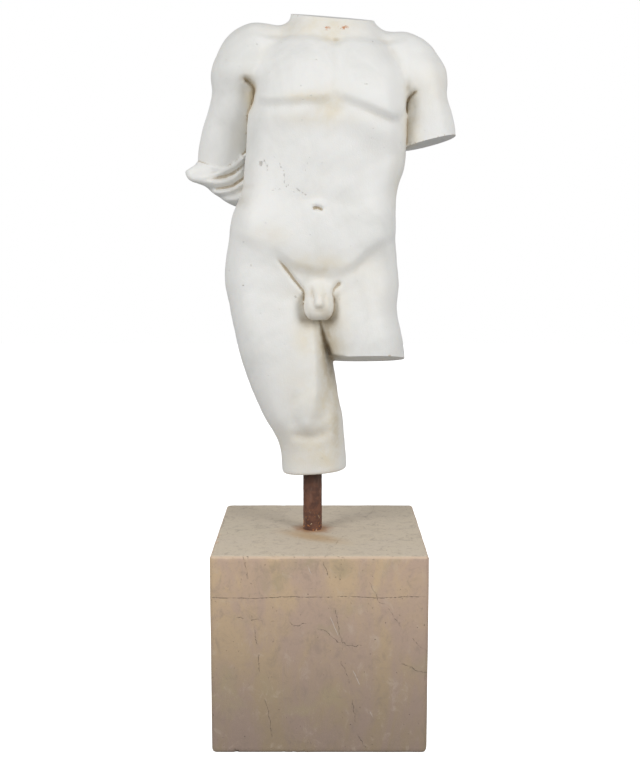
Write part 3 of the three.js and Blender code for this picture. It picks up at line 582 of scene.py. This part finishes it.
COLLAR_LINE = [
    (-150, 1396, 0), (-128, 1388, 0.2), (-104, 1383, 0.7), (-60, 1379, 1), (-10, 1375, 1), (14, 1371, 0.9),
    (31, 1363, 0.7), (48, 1371, 0.9), (90, 1371, 1), (130, 1370, 0.9), (160, 1374, 0.4), (185, 1380, 0),
]
RIGHT_BREAST_LINE = [
    (-150, 1282, 0), (-134, 1268, 0.4), (-118, 1259, 0.85), (-100, 1254, 1), (-66, 1253, 1),
    (-33, 1254, 1), (0, 1256, 0.85), (16, 1259, 0.5), (28, 1263, 0.15), (40, 1268, 0),
]
LEFT_BREAST_LINE = [
    (18, 1270, 0), (30, 1266, 0.2), (42, 1261, 0.5), (58, 1255, 0.85), (80, 1247, 1), (108, 1236, 1.1),
    (130, 1228, 1.2), (144, 1224, 1.1), (158, 1230, 0.8), (170, 1250, 0.3), (180, 1270, 0),
]
BELLY_LINE = [
    (-185, 1008, 0.2), (-160, 998, 0.5), (-135, 987, 0.6), (-112, 981, 0.4), (-92, 974, 0.35),
    (-74, 960, 0.6), (-58, 946, 0.9), (-38, 937, 1), (-14, 931, 1), (20, 928, 1), (50, 933, 1.1),
    (69, 944, 1.2), (86, 960, 1.1), (107, 976, 1), (136, 992, 0.8), (160, 1006, 0.4),
]
# Each furrow is a width, a height and a line of (x, z); each swell is a middle, two radii and a height.
FRONT_FURROWS = [
    (15, -2, (34, 1385), (30, 1340), (29, 1300), (28, 1262), (26, 1230)),
    (16, -3.5, (-104, 1380), (-116, 1350), (-126, 1318), (-126, 1290), (-118, 1262)),
    (15, -4, (112, 1384), (130, 1360), (150, 1338), (163, 1315), (168, 1285), (168, 1250)),
    (22, 4.5, (36, 1234), (77, 1214), (120, 1196), (165, 1188)),
    (22, 3.5, (-130, 1226), (-80, 1228), (-40, 1230), (-5, 1234)),
    (18, -3, (86, 1190), (88, 1150), (82, 1112), (76, 1080), (80, 1050)),
    (20, -1.2, (-74, 1196), (-82, 1150), (-82, 1100), (-78, 1060)),
    (14, -1.5, (26, 1240), (20, 1205), (14, 1160), (6, 1100), (0, 1066)),
    (12, -1.8, (-50, 1074), (-24, 1071), (20, 1067), (50, 1060), (90, 1050)),
    (3.6, -10, (-13, 1051), (-7, 1053), (0, 1052), (8, 1048)),
    (8, 2, (-18, 1058), (-6, 1062), (4, 1061), (14, 1055)),
    (3.6, -9, (-84, 958), (-65, 935), (-50, 915), (-38, 900), (-30, 888), (-31, 872)),
    (4.6, -7, (43, 912), (36, 904), (29, 896), (25, 886), (28, 868)),
    (4.4, -9, (-150, 1303), (-143, 1300), (-134, 1294), (-128, 1286), (-129, 1272), (-138, 1240)),
    (4, -8, (192, 1279), (184, 1274), (176, 1266), (172, 1254), (171.5, 1235)),
    (14, 7, (-14, 870), (-8, 800), (-7, 750), (-7, 700), (-9, 640)),
    (12, -2.5, (-44, 700), (-54, 668), (-55, 640), (-44, 612)),
    (12, -4.5, (-60, 610), (-34, 601), (-6, 602), (24, 616)),
]
FRONT_SWELLS = [
    (31, 1372, 10, 9, -4), (134, 1346, 18, 15, -3), (26, 1238, 20, 14, -3.5), (-22, 1158, 44, 30, 2.5),
    (46, 1158, 40, 30, 2.5), (112, 1142, 24, 42, -6), (-108, 1130, 24, 44, -2.5), (-34, 1100, 30, 22, 2),
    (44, 1093, 26, 20, 3), (-6, 992, 84, 50, 5), (-132, 1034, 32, 36, 3), (128, 1038, 28, 32, 3),
    (0, 906, 36, 20, 3), (26, 735, 18, 80, -8), (-21, 660, 22, 34, 7), (-25, 627, 13, 16, 5),
    (-146, 1277, 14, 20, -7), (185, 1253, 10, 18, -4),
    (-88, 640, 20, 40, 4), (28, 636, 18, 40, 4), (-6, 558, 30, 24, 2.5),
]
BACK_FURROWS = [
    (20, -11, (27, 1430), (24, 1350), (18, 1260), (8, 1160), (-4, 1070), (-13, 1000)),
    (20, -4, (-30, 1340), (-34, 1290), (-56, 1236), (-116, 1206)),
    (20, -4, (76, 1330), (78, 1280), (100, 1230), (156, 1200)),
    (26, 6, (-34, 1200), (-42, 1110), (-50, 1040), (-48, 990)),
    (26, 6, (56, 1200), (42, 1110), (26, 1040), (20, 990)),
    (17, -30, (-14, 1004), (-14, 950), (-13, 900), (-10, 860), (-8, 830)),
    (20, -10, (-180, 872), (-130, 842), (-80, 834), (-24, 850)),
    (20, -10, (0, 846), (56, 828), (106, 834), (160, 864)),
    (14, 4, (-70, 700), (-62, 640), (-52, 590)),
    (14, 4, (16, 700), (24, 640), (28, 590)),
]
BACK_SWELLS = [
    (-74, 1300, 46, 60, 8), (114, 1290, 46, 60, 8), (-100, 908, 64, 62, 15), (72, 902, 62, 60, 15),
    (-14, 600, 20, 40, -5),
]


def front_relief(x, z):
    """Height of the carving over the front: collar, breasts, ribs, navel, belly line, groin and knee."""
    height = ledge(x, z, COLLAR_LINE, -8, 8, 34) + ledge(x, z, RIGHT_BREAST_LINE, 9.5, 11, 90)
    height = height + ledge(x, z, LEFT_BREAST_LINE, 10.5, 11, 90) + ledge(x, z, BELLY_LINE, 8, 15, 56)
    height = height + sum(furrow(x, z, *mark) for mark in FRONT_FURROWS)
    return height + sum(swell(x, z, *mark) for mark in FRONT_SWELLS)


def back_relief(x, z):
    """Height of the carving over the back: spine, shoulder blades, loins, buttocks, hollow of the knee."""
    lines = sum(furrow(x, z, *mark) for mark in BACK_FURROWS)
    return lines + sum(swell(x, z, *mark) for mark in BACK_SWELLS)


def chisel_waves(x, y, z):
    """The slight unevenness of hand carving: products of slow sines, about half a millimetre high."""
    first = np.sin(x / 13.1 + 0.7) * np.sin(z / 17.3 + 0.4 * np.sin(y / 19.0)) * np.cos(y / 15.7 + 1.1)
    return 0.35 * first + 0.3 * np.sin(x / 7.9 - z / 11.3 + 0.5) * np.cos(z / 8.7 + y / 9.1)


def carve(skin, x, y, z):
    """Raises the skin by the front and back carving, each fading out round the sides."""
    front = front_relief(x, z) * ramp(25, -35, y)
    return skin - front - back_relief(x, z) * ramp(0, 50, y) - chisel_waves(x, y, z)


POUCH_EGGS = [
    ((-14, -84, 864), (16.5, 24, 27)), ((11, -84, 864), (16.5, 24, 27)), ((-1, -84, 853), (21, 21, 16)),
    ((-1, -79, 883), (25, 15, 17)),
]


def add_sex(skin, x, y, z):
    """Joins on the pouch, of four eggs, and the member, a short bar that narrows downwards."""
    pouch = egg(x, y, z, *POUCH_EGGS[0])
    for part in POUCH_EGGS[1:]:
        pouch = soft_join(pouch, egg(x, y, z, *part), 10)
    member = bar(x, y, z, (-1, -74, 916), (0, -109, 861), (15, 15.5), (11, 9.5), 9)
    member = soft_cut(member, z - 908, 26)
    skin = soft_join(skin, pouch, 2.5 + 22 * ramp(868, 896, z))
    return soft_join(skin, member, 1.2 + 14 * ramp(884, 906, z))


# Cloth gathered round the right elbow: here the stations are x, and the widths run up and down.
CLOTH = [
    (-273, 1127, 2, 30, 3, 3), (-267, 1123, 9, 29, 8, 10), (-258, 1123, 15, 31, 13, 18),
    (-248, 1124, 19, 36, 19, 28), (-232, 1120, 22, 44, 30, 38), (-215, 1110, 26, 54, 40, 44),
    (-200, 1104, 30, 62, 46, 48), (-184, 1100, 37, 68, 50, 50), (-165, 1099, 43, 75, 52, 48),
    (-140, 1099, 46, 85, 52, 46), (-100, 1096, 46, 94, 44, 44), (-60, 1088, 42, 98, 34, 38),
    (-20, 1078, 36, 97, 26, 30), (4, 1072, 22, 94, 16, 20),
]
CLOTH_WALL = 3.5
HEM = [
    (-290, 1126), (-277, 1130), (-256, 1147), (-246, 1146), (-234, 1142), (-217, 1138), (-200, 1135),
    (-186, 1136), (-172, 1142), (-158, 1154), (-145, 1168), (-130, 1184),
]
FOLDS = [
    (3.6, 4, (-262, 1114), (-239, 1115), (-222, 1117), (-207, 1121), (-191, 1127), (-175, 1135),
     (-165, 1142), (-154, 1154), (-143, 1168), (-134, 1180)),
    (9, -4, (-232, 1110), (-207, 1113), (-188, 1118), (-172, 1126), (-160, 1137), (-150, 1148), (-140, 1160)),
    (5, 5, (-262, 1110), (-244, 1108), (-213, 1107), (-191, 1108), (-181, 1112), (-170, 1118),
     (-162, 1126), (-152, 1136), (-143, 1146), (-132, 1160)),
    (5, -10, (-228, 1094), (-214, 1093.5), (-202, 1095), (-187, 1097), (-176, 1100), (-165, 1107),
     (-155, 1114), (-144, 1125), (-134, 1136)),
    (4.5, 4, (-226, 1088), (-214, 1088), (-204, 1086), (-194, 1086), (-181, 1089), (-167, 1097),
     (-157, 1104), (-145, 1116), (-132, 1130)),
    (8, -3, (-206, 1078), (-190, 1079), (-172, 1084), (-160, 1092), (-148, 1102)),
    (5, 3, (-208, 1074), (-197, 1073), (-181, 1072), (-165, 1074), (-150, 1084), (-138, 1100)),
    (4, -2.5, (-266, 1122), (-271, 1124), (-268, 1117)),
]


def cloth(x, y, z):
    """A roll along x joined to a sleeve round the arm. Folds are raised on its front, and behind the back
    pleats fan out from the pinched corner at the elbow."""
    roll = soft_cut(soft_cut(loft(CLOTH, 2.3, z, y, x), -273 - x, 3), x - 6, 20)
    sleeve = (np.array(RIGHT_ARM) + CLOTH_WALL * np.array([0, 0, 1, 0, 1, 1])).tolist()
    cuff = soft_cut(loft(sleeve, 2.1, x, y, z), z - smooth_rows(HEM, x)[0], 1.5)
    cuff = soft_cut(cuff, 1112 - z, 26)
    in_front = ramp(6, -14, y - smooth_rows(CLOTH, x)[2])
    folds = sum(furrow(x, z, *fold) for fold in FOLDS)
    turn = np.arctan2(z - 1128, x + 330)
    pleats = ramp(-262, -170, x) * ramp(10, -40, x) * (5 - 7 * np.abs(np.sin(20 * turn + 0.6)))
    return soft_join(roll, cuff, 10) - folds * in_front - pleats * (1 - in_front)


def neck_cut(x, y, z):
    """Flat break through the neck."""
    return half_space(x, y, z, (25, 14, 1427), (0.08, -0.2, 1))


def dressed_body(x, y, z):
    """Everything but the cuts at the neck and below the knee."""
    carved = carve(add_arms(body(x, y, z), x, y, z), x, y, z)
    return soft_join(add_sex(carved, x, y, z), cloth(x, y, z), 3)


def figure(x, y, z):
    """Distance to the whole torso: negative inside the marble."""
    stump = half_space(x, y, z, (-12, 0, 520), (-0.07, 0, 1))
    return soft_cut(np.maximum(dressed_body(x, y, z), neck_cut(x, y, z)), -stump, 8)


def fill_grid(step):
    """The figure's distance at every point of a grid, in slabs of x to save memory."""
    axes = [np.arange(a, b + step, step, dtype=np.float32) for a, b in zip(TORSO_LOW, TORSO_HIGH)]
    y, z = axes[1][None, :, None], axes[2][None, None, :]
    slabs = [figure(x.reshape(-1, 1, 1), y, z).astype(np.float32) for x in np.array_split(axes[0], 6)]
    return np.concatenate(slabs)


def fill_pinches(value, step):
    """Where the marble would touch itself only across the corners of a grid square, the square is filled."""
    found = True
    while found:
        found = False
        for u, v in ((0, 1), (0, 2), (1, 2)):
            corners = []
            for du, dv in ((0, 0), (1, 0), (0, 1), (1, 1)):
                cut = [slice(None)] * 3
                cut[u] = slice(du, value.shape[u] - 1 + du)
                cut[v] = slice(dv, value.shape[v] - 1 + dv)
                corners.append(value[tuple(cut)])
            a, b, c, d = (corner < 0 for corner in corners)
            pinch = (a == d) & (b == c) & (a != b)
            if pinch.any():
                found = True
                for corner in corners:
                    np.minimum(corner, -0.2 * step, out=corner, where=pinch)
    return value


def skin_of(value, step):
    """Surface net: one point in each grid cube that the surface crosses, at the mean of its edge crossings,
    and one quad round each grid edge that the surface crosses."""
    inside = value < 0
    cells = np.zeros(np.array(value.shape) - 1, dtype=np.int8)
    steps = [(a, b, c) for a in (0, 1) for b in (0, 1) for c in (0, 1)]
    for a, b, c in steps:
        cells += inside[a : a + cells.shape[0], b : b + cells.shape[1], c : c + cells.shape[2]]
    i, j, k = np.nonzero((cells > 0) & (cells < 8))
    number = np.full(cells.shape, -1)
    number[i, j, k] = np.arange(len(i))
    corner = np.array(steps, dtype=float)
    v = np.stack([value[i + a, j + b, k + c] for a, b, c in steps], axis=1).astype(float)
    total, count = np.zeros((len(i), 3)), np.zeros((len(i), 1))
    for p in range(8):
        for q in range(p + 1, 8):
            if abs(corner[p] - corner[q]).sum() == 1:
                crossed = (v[:, p] < 0) != (v[:, q] < 0)
                t = np.where(crossed, v[:, p] / np.where(crossed, v[:, p] - v[:, q], 1), 0)[:, None]
                total += np.where(crossed[:, None], corner[p] + t * (corner[q] - corner[p]), 0)
                count += crossed[:, None]
    points = TORSO_LOW + (np.stack([i, j, k], 1) + total / count) * step
    quads = []
    for axis in range(3):
        u, w = (axis + 1) % 3, (axis + 2) % 3
        low = [slice(1, n - 1) for n in value.shape]
        high = list(low)
        high[axis] = slice(2, value.shape[axis])
        here = inside[tuple(low)]
        edge = np.stack(np.nonzero(here != inside[tuple(high)]), 1) + 1
        full = inside[tuple(edge.T)]
        ring = []
        for du, dw in ((1, 1), (0, 1), (0, 0), (1, 0)):
            cube = edge.copy()
            cube[:, u] -= du
            cube[:, w] -= dw
            ring.append(number[tuple(cube.T)])
        ring = np.stack(ring, 1)
        quads.append(np.where(full[:, None], ring, ring[:, ::-1]))
    return points, np.concatenate(quads)


def middle_of_neighbours(points, quads):
    """Mean place of the points that each point shares an edge with."""
    start = quads.ravel()
    end = np.roll(quads, -1, axis=1).ravel()
    count = np.bincount(start, minlength=len(points))[:, None]
    both = [np.bincount(start, points[end, a], len(points)) for a in range(3)]
    return np.stack(both, 1) / np.maximum(count, 1)


def sample(value, points, step):
    """Trilinear reading of the grid at any points."""
    at = np.clip((points - TORSO_LOW) / step, 0, np.array(value.shape) - 1.001)
    base = at.astype(int)
    f = at - base
    total = 0.0
    for a in (0, 1):
        for b in (0, 1):
            for c in (0, 1):
                share = np.abs(1 - a - f[:, 0]) * np.abs(1 - b - f[:, 1]) * np.abs(1 - c - f[:, 2])
                total = total + share * value[base[:, 0] + a, base[:, 1] + b, base[:, 2] + c]
    return total


def pull_to(points, solid, reach, gap):
    """One Newton step on to a surface, by no more than the reach; the slope is taken over the gap."""
    d = solid(points)
    shifts = np.eye(3) * gap
    slope = np.stack([solid(points + s) - solid(points - s) for s in shifts], 1) / (2 * gap)
    size = np.linalg.norm(slope, axis=1)
    move = np.clip(-d / np.maximum(size, 0.5), -reach, reach) * np.minimum(size / 0.5, 1)
    return points + slope * (move / np.maximum(size, 1e-6))[:, None]


def torso_mesh():
    """The net over the figure, evened out and pulled back to the surface, with points slid on to the sharp
    edges of the cuts."""
    value = fill_pinches(fill_grid(STEP), STEP)
    points, quads = skin_of(value, STEP)
    for _ in range(3):
        points = (points + middle_of_neighbours(points, quads)) / 2
        points = pull_to(points, lambda p: sample(value, p, STEP), STEP / 2, STEP / 2)
    edges = [(whole_left_thigh, thigh_cut), (whole_left_arm, left_arm_cut), (dressed_body, neck_cut)]
    for limb, cut in edges:
        near = np.abs(cut(*points.T)) < 0.75 * STEP
        near[near] = np.abs(limb(*points[near].T)) < 0.75 * STEP
        for _ in range(4):
            for solid in (limb, cut):
                points[near] = pull_to(points[near], lambda p, s=solid: s(*p.T), STEP, 0.5)
    return mesh_piece("marble_torso", points / 1000, quads), points, quads


# Patches as (x, z, width, height, strength) on the front, in millimetres: cream, partly where damp has
# sat and partly painted shade under the belly, in the armpits and on the inner arms and thighs; tan where
# iron in the stone has come out; and brown, mostly painted shadow under the pouch, in the thigh gap, under
# the belly, knee and cloth and in the armpits, with some dirt.
# Cream patches: partly damp stains, partly painted shade under the belly, in the armpits and on the inner
# arms and thighs.
CREAM = [
    (0, 1400, 76, 20, 0.9), (24, 1376, 18, 14, 1.0), (-24, 1260, 40, 10, 0.9), (24, 1250, 24, 26, 0.9),
    (-2, 1222, 70, 16, 0.5), (-4, 944, 60, 20, 0.7), (-24, 572, 64, 40, 0.8), (22, 620, 16, 80, 1.0),
    (30, 800, 30, 50, 0.5), (-135, 1276, 12, 30, 1.0), (182, 1216, 16, 60, 0.9), (-160, 1186, 16, 40, 0.4),
    (224, 1290, 30, 40, 0.4), (-40, 700, 40, 60, 0.35), (110, 905, 30, 60, 0.25), (-90, 1000, 40, 22, 0.35),
    (150, 1105, 12, 46, 0.45), (-2, 880, 60, 50, 0.5), (-24, 800, 26, 34, 0.8),
    (-190, 1100, 60, 40, 0.3), (16, 690, 26, 130, 0.7),
]
TAN = [(14, 1394, 9, 5, 1.0), (46, 1396, 12, 5, 1.1), (26, 600, 9, 44, 0.35)]
# Brown patches: mostly painted shadow under the pouch, in the thigh gap, under the belly, knee and cloth and
# in the armpits, with some dirt.
SHADE_AND_DIRT = [
    (-142, 1298, 12, 9, 0.9), (-128, 1282, 6, 14, 0.5), (174, 1215, 5, 56, 0.5),
    (-26, 832, 15, 13, 0.8), (25, 836, 11, 15, 0.8), (34, 868, 6, 26, 0.5), (-38, 862, 5, 22, 0.3),
    (10, 800, 10, 44, 0.9), (22, 745, 14, 50, 0.9), (34, 640, 10, 70, 0.35), (-20, 603, 40, 9, 0.15),
    (-14, 884, 4, 14, 0.6),
    (0, 857, 9, 3, 0.6), (0, 936, 44, 9, 0.25), (-172, 1096, 30, 6, 0.5), (-160, 1066, 24, 14, 0.4),
    (180, 1160, 60, 14, 0.15),
]


def stain_mask(points, places):
    """Sum of rounded patches, exp(-(dx / w)^2 - (dz / h)^2), on the front half only."""
    x, y, z = points.T
    total = sum(s * np.exp(-(((x - cx) / w) ** 2) - ((z - cz) / h) ** 2) for cx, cz, w, h, s in places)
    return np.clip(total * ramp(30, -10, y), 0, 1)


def hollow_mask(points, quads, normals, rounds, full):
    """How far the mean of the surroundings stands out over the surface, with the surroundings widened by
    each round; full, in millimetres, is where the mask reaches 1. Positive in hollows."""
    smooth = points
    for _ in range(rounds):
        smooth = (smooth + middle_of_neighbours(smooth, quads)) / 2
    return np.clip(((smooth - points) * normals).sum(1) / full, 0, 1)


def give_mask(piece, name, values):
    """Stores one number for each point of a piece, for its material to read."""
    mask = piece.data.attributes.new(name, "FLOAT", "POINT")
    mask.data.foreach_set("value", values.astype(np.float32))


# Fine marks on the front, as lines of (x, z) in millimetres: grey scratches on the ribs and breasts.
SCRATCHES = [
    [(-108, 1147), (-102, 1134), (-101, 1123)],
    [(-87, 1151), (-78, 1140), (-74, 1130), (-69, 1123), (-68, 1111), (-67, 1099), (-62, 1090), (-59, 1099)],
    [(-18, 1150), (-23, 1139), (-26, 1127), (-28, 1116)],
    [(-91, 1086), (-83, 1090), (-76, 1088)],
    [(-55, 1074), (-46, 1076)],
    [(-52, 1083), (-41, 1085)],
    [(-44, 1089), (-35, 1083), (-25, 1077)],
    [(-10, 1331), (-4, 1330)],
    [(75, 1289), (85, 1285), (91, 1284)],
]
SPOTS = [
    (-114, 1138, 5.5), (-101, 1136, 3), (-73, 1254, 2.2), (-148, 988, 3), (-135, 942, 3), (-150, 903, 2.5),
    (-47, 880, 4), (102, 1370, 2), (-155, 804, 2), (-113, 697, 2.2), (-18, 1001, 1.6), (-53, 1001, 1.6),
]


def mark_mask(points):
    """1 on a scratch or inside a spot, falling to 0 at 4 mm away from it; 0 on the back half."""
    x, _, z = points.T
    lines = [(a, b, 0.0) for line in SCRATCHES for a, b in zip(line[:-1], line[1:])]
    lines += [((cx, cz), (cx + 0.5, cz), size - 1.5) for cx, cz, size in SPOTS]
    far = np.full(len(points), 99.0)
    for (x0, z0), (x1, z1), size in lines:
        dx, dz = x1 - x0, z1 - z0
        t = np.clip(((x - x0) * dx + (z - z0) * dz) / (dx * dx + dz * dz), 0, 1)
        far = np.minimum(far, np.hypot(x - x0 - t * dx, z - z0 - t * dz) - size)
    return np.clip(1 - far / 4, 0, 1) * (points[:, 1] < -10)


def marble_material():
    """Warm white with faint grey clouds; cream and brown in the hollows and creases, partly dirt and partly
    painted shade; placed cream stains and brown patches, partly painted shade; scratches and spots; a
    few dark specks; and a fine rubbed grain."""
    material, n, shader = new_material("white_marble", (0.83, 0.82, 0.79), 0.55)
    where = n.add("TexCoord", "Object")
    cloudy = n.noise(n.stretch(where, turn=(0.4, 0.2, 0.7), scale=(1.0, 1.0, 0.7)), 9.0, 5.0, 0.6, 0.5)
    color = n.blend(n.spread(cloudy, 0.42, 0.72), (0.855, 0.852, 0.828), (0.765, 0.765, 0.738))
    broken = n.noise(where, 26.0, 5.0, 0.65)
    masks = ("creases", "hollows", "cream", "tan", "shade_and_dirt", "marks")
    creases, hollows, cream, tan, shade_and_dirt, near = (n.add("Attribute", 2, attribute_name=name) for name in masks)
    patchy = n.spread(broken, 0.34, 0.62, 0.45, 1.0)
    # Cream in the hollows: partly dirt, partly painted shade where the recesses fall dark.
    color = n.blend(n.math("MULTIPLY", n.math("MULTIPLY", hollows, 0.55), patchy), color, (0.76, 0.70, 0.575))
    # Cream patches: partly damp stains, partly painted shade.
    color = n.blend(n.math("MULTIPLY", n.math("MULTIPLY", cream, 0.9), patchy), color, (0.79, 0.72, 0.57))
    # Brown patches: mostly painted shadow, with some dirt.
    color = n.blend(n.math("MULTIPLY", n.math("MULTIPLY", shade_and_dirt, 0.75), patchy), color, (0.36, 0.28, 0.165))
    # Brown in the creases: partly dirt, partly painted shade along the narrow folds and gaps.
    color = n.blend(n.math("MULTIPLY", n.spread(creases, 0.25, 1.2), 0.85), color, (0.42, 0.32, 0.19))
    spotty = n.spread(n.noise(where, 150.0, 3.0, 0.6, 0.5), 0.44, 0.56)
    color = n.blend(n.math("MULTIPLY", n.spread(tan, 0.3, 0.9), spotty), color, (0.60, 0.30, 0.16))

    wander = n.spread(n.noise(where, 160.0, 3.0, 0.6), 0.3, 0.7, -0.35, 0.2)
    marks = n.spread(n.math("ADD", near, wander), 0.55, 1.05)
    color = n.blend(n.math("MULTIPLY", marks, 0.6), color, (0.36, 0.325, 0.28))
    specks = n.spread(n.noise(where, 170.0, 1.0, 0.5), 0.78, 0.82)
    color = n.blend(n.math("MULTIPLY", specks, 0.25), color, (0.40, 0.37, 0.33))

    rubbed = n.add("Group", "Mask", {"Vector": where, "Scale": 420.0, "Coarse": 0.6}, node_tree=grain)
    rough = n.spread(cloudy, 0.3, 0.8, 0.50, 0.66)
    height = n.math("SUBTRACT", rubbed, n.math("ADD", n.math("MULTIPLY", marks, 0.8), specks))
    finish_material(n, shader, color, rough, height, 0.0007)
    shader.inputs["Subsurface Weight"].default_value = 0.10
    shader.inputs["Subsurface Radius"].default_value = (1.0, 0.8, 0.6)
    shader.inputs["Subsurface Scale"].default_value = 0.006
    return material


torso, skin_points, skin_quads = torso_mesh()
normals = np.empty(len(skin_points) * 3, dtype=np.float32)
torso.data.vertex_normals.foreach_get("vector", normals)
normals = normals.reshape(-1, 3)
# Hollow and crease masks: they carry cream and brown that are partly dirt and partly painted shade.
for mask, rounds, full in (("creases", 6, 1.1), ("hollows", 70, 5.0)):
    give_mask(torso, mask, hollow_mask(skin_points, skin_quads, normals, rounds, full))
for mask, places in (("cream", CREAM), ("tan", TAN), ("shade_and_dirt", SHADE_AND_DIRT)):
    give_mask(torso, mask, stain_mask(skin_points, places))
give_mask(torso, "marks", mark_mask(skin_points))
torso.data.set_sharp_from_angle(angle=np.radians(50))
torso.data.materials.append(marble_material())
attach(torso, "root")
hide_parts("torso")


# ---------------------------------------------------------------- studio
# A plain pale floor under a plain white sky, two large soft lights in front, one on either side, and
# the camera a little over two metres away at breast height, looking slightly down.


def floor_mesh():
    """A flat square of floor, 16 m wide, as a grid of two parameters."""
    step = np.linspace(-8, 8, 9)
    x, y = np.meshgrid(step, step)
    points = np.stack([x.ravel(), y.ravel(), np.zeros(x.size)], 1)
    start = (np.arange(8)[:, None] * 9 + np.arange(8)).ravel()
    return mesh_piece("floor", points, start[:, None] + np.array([0, 1, 10, 9]))


def floor_material():
    """Pale matt floor, which looks lighter to the camera than the light it throws back on the stone."""
    material = bpy.data.materials.new("pale_floor")
    material.use_nodes = True
    tree = material.node_tree
    tree.nodes.remove(tree.nodes["Principled BSDF"])
    n = Nodes(tree)
    seen = n.add("LightPath", "Is Camera Ray")
    dim = n.add("BsdfDiffuse", inputs={"Color": (0.45, 0.45, 0.45, 1.0)})
    pale = n.add("BsdfDiffuse", inputs={"Color": (1.0, 1.0, 1.0, 1.0)})
    glow = n.add("Emission", inputs={"Color": (1.0, 1.0, 1.0, 1.0), "Strength": 0.80})
    lit = n.add("AddShader", inputs={0: pale, 1: glow})
    both = n.add("MixShader", inputs={0: seen, 1: dim, 2: lit})
    tree.links.new(both, tree.nodes["Material Output"].inputs["Surface"])
    return material


floor = floor_mesh()
floor.data.materials.append(floor_material())

scene = bpy.context.scene
scene.view_settings.view_transform = "Standard"
world = bpy.data.worlds.new("studio")
world.use_nodes = True
scene.world = world
sky = Nodes(world.node_tree)
seen = sky.add("LightPath", "Is Camera Ray")
strength = sky.add("MapRange", inputs={0: seen, 1: 0.0, 2: 1.0, 3: 0.42, 4: 1.0})
world.node_tree.links.new(strength, world.node_tree.nodes["Background"].inputs["Strength"])
world.node_tree.nodes["Background"].inputs["Color"].default_value = (1.0, 1.0, 1.0, 1.0)


def soft_light(name, place, aim, width, height, power):
    """Area light at a place, turned so that its face looks at the aim."""
    lamp = bpy.data.lights.new(name, "AREA")
    lamp.shape = "RECTANGLE"
    lamp.size, lamp.size_y, lamp.energy = width, height, power
    light = bpy.data.objects.new(name, lamp)
    scene.collection.objects.link(light)
    light.location = place
    way = np.array(aim, dtype=float) - place
    light.rotation_euler = (np.arccos(-way[2] / np.linalg.norm(way)), 0, np.arctan2(-way[0], way[1]))
    return light


soft_light("left_light", (-1.75, -1.75, 1.75), (0, 0, 0.9), 0.9, 1.3, 27.5)
soft_light("right_light", (1.75, -1.75, 1.75), (0, 0, 0.9), 0.9, 1.3, 27.5)

lens = bpy.data.cameras.new("camera")
lens.lens = 53.35
lens.sensor_width = 36.0
camera = bpy.data.objects.new("camera", lens)
scene.collection.objects.link(camera)
camera.location = (0.005, -2.3355, 1.0071)
camera.rotation_euler = (np.radians(90 - 7.73), 0, np.radians(0.1))
scene.camera = camera
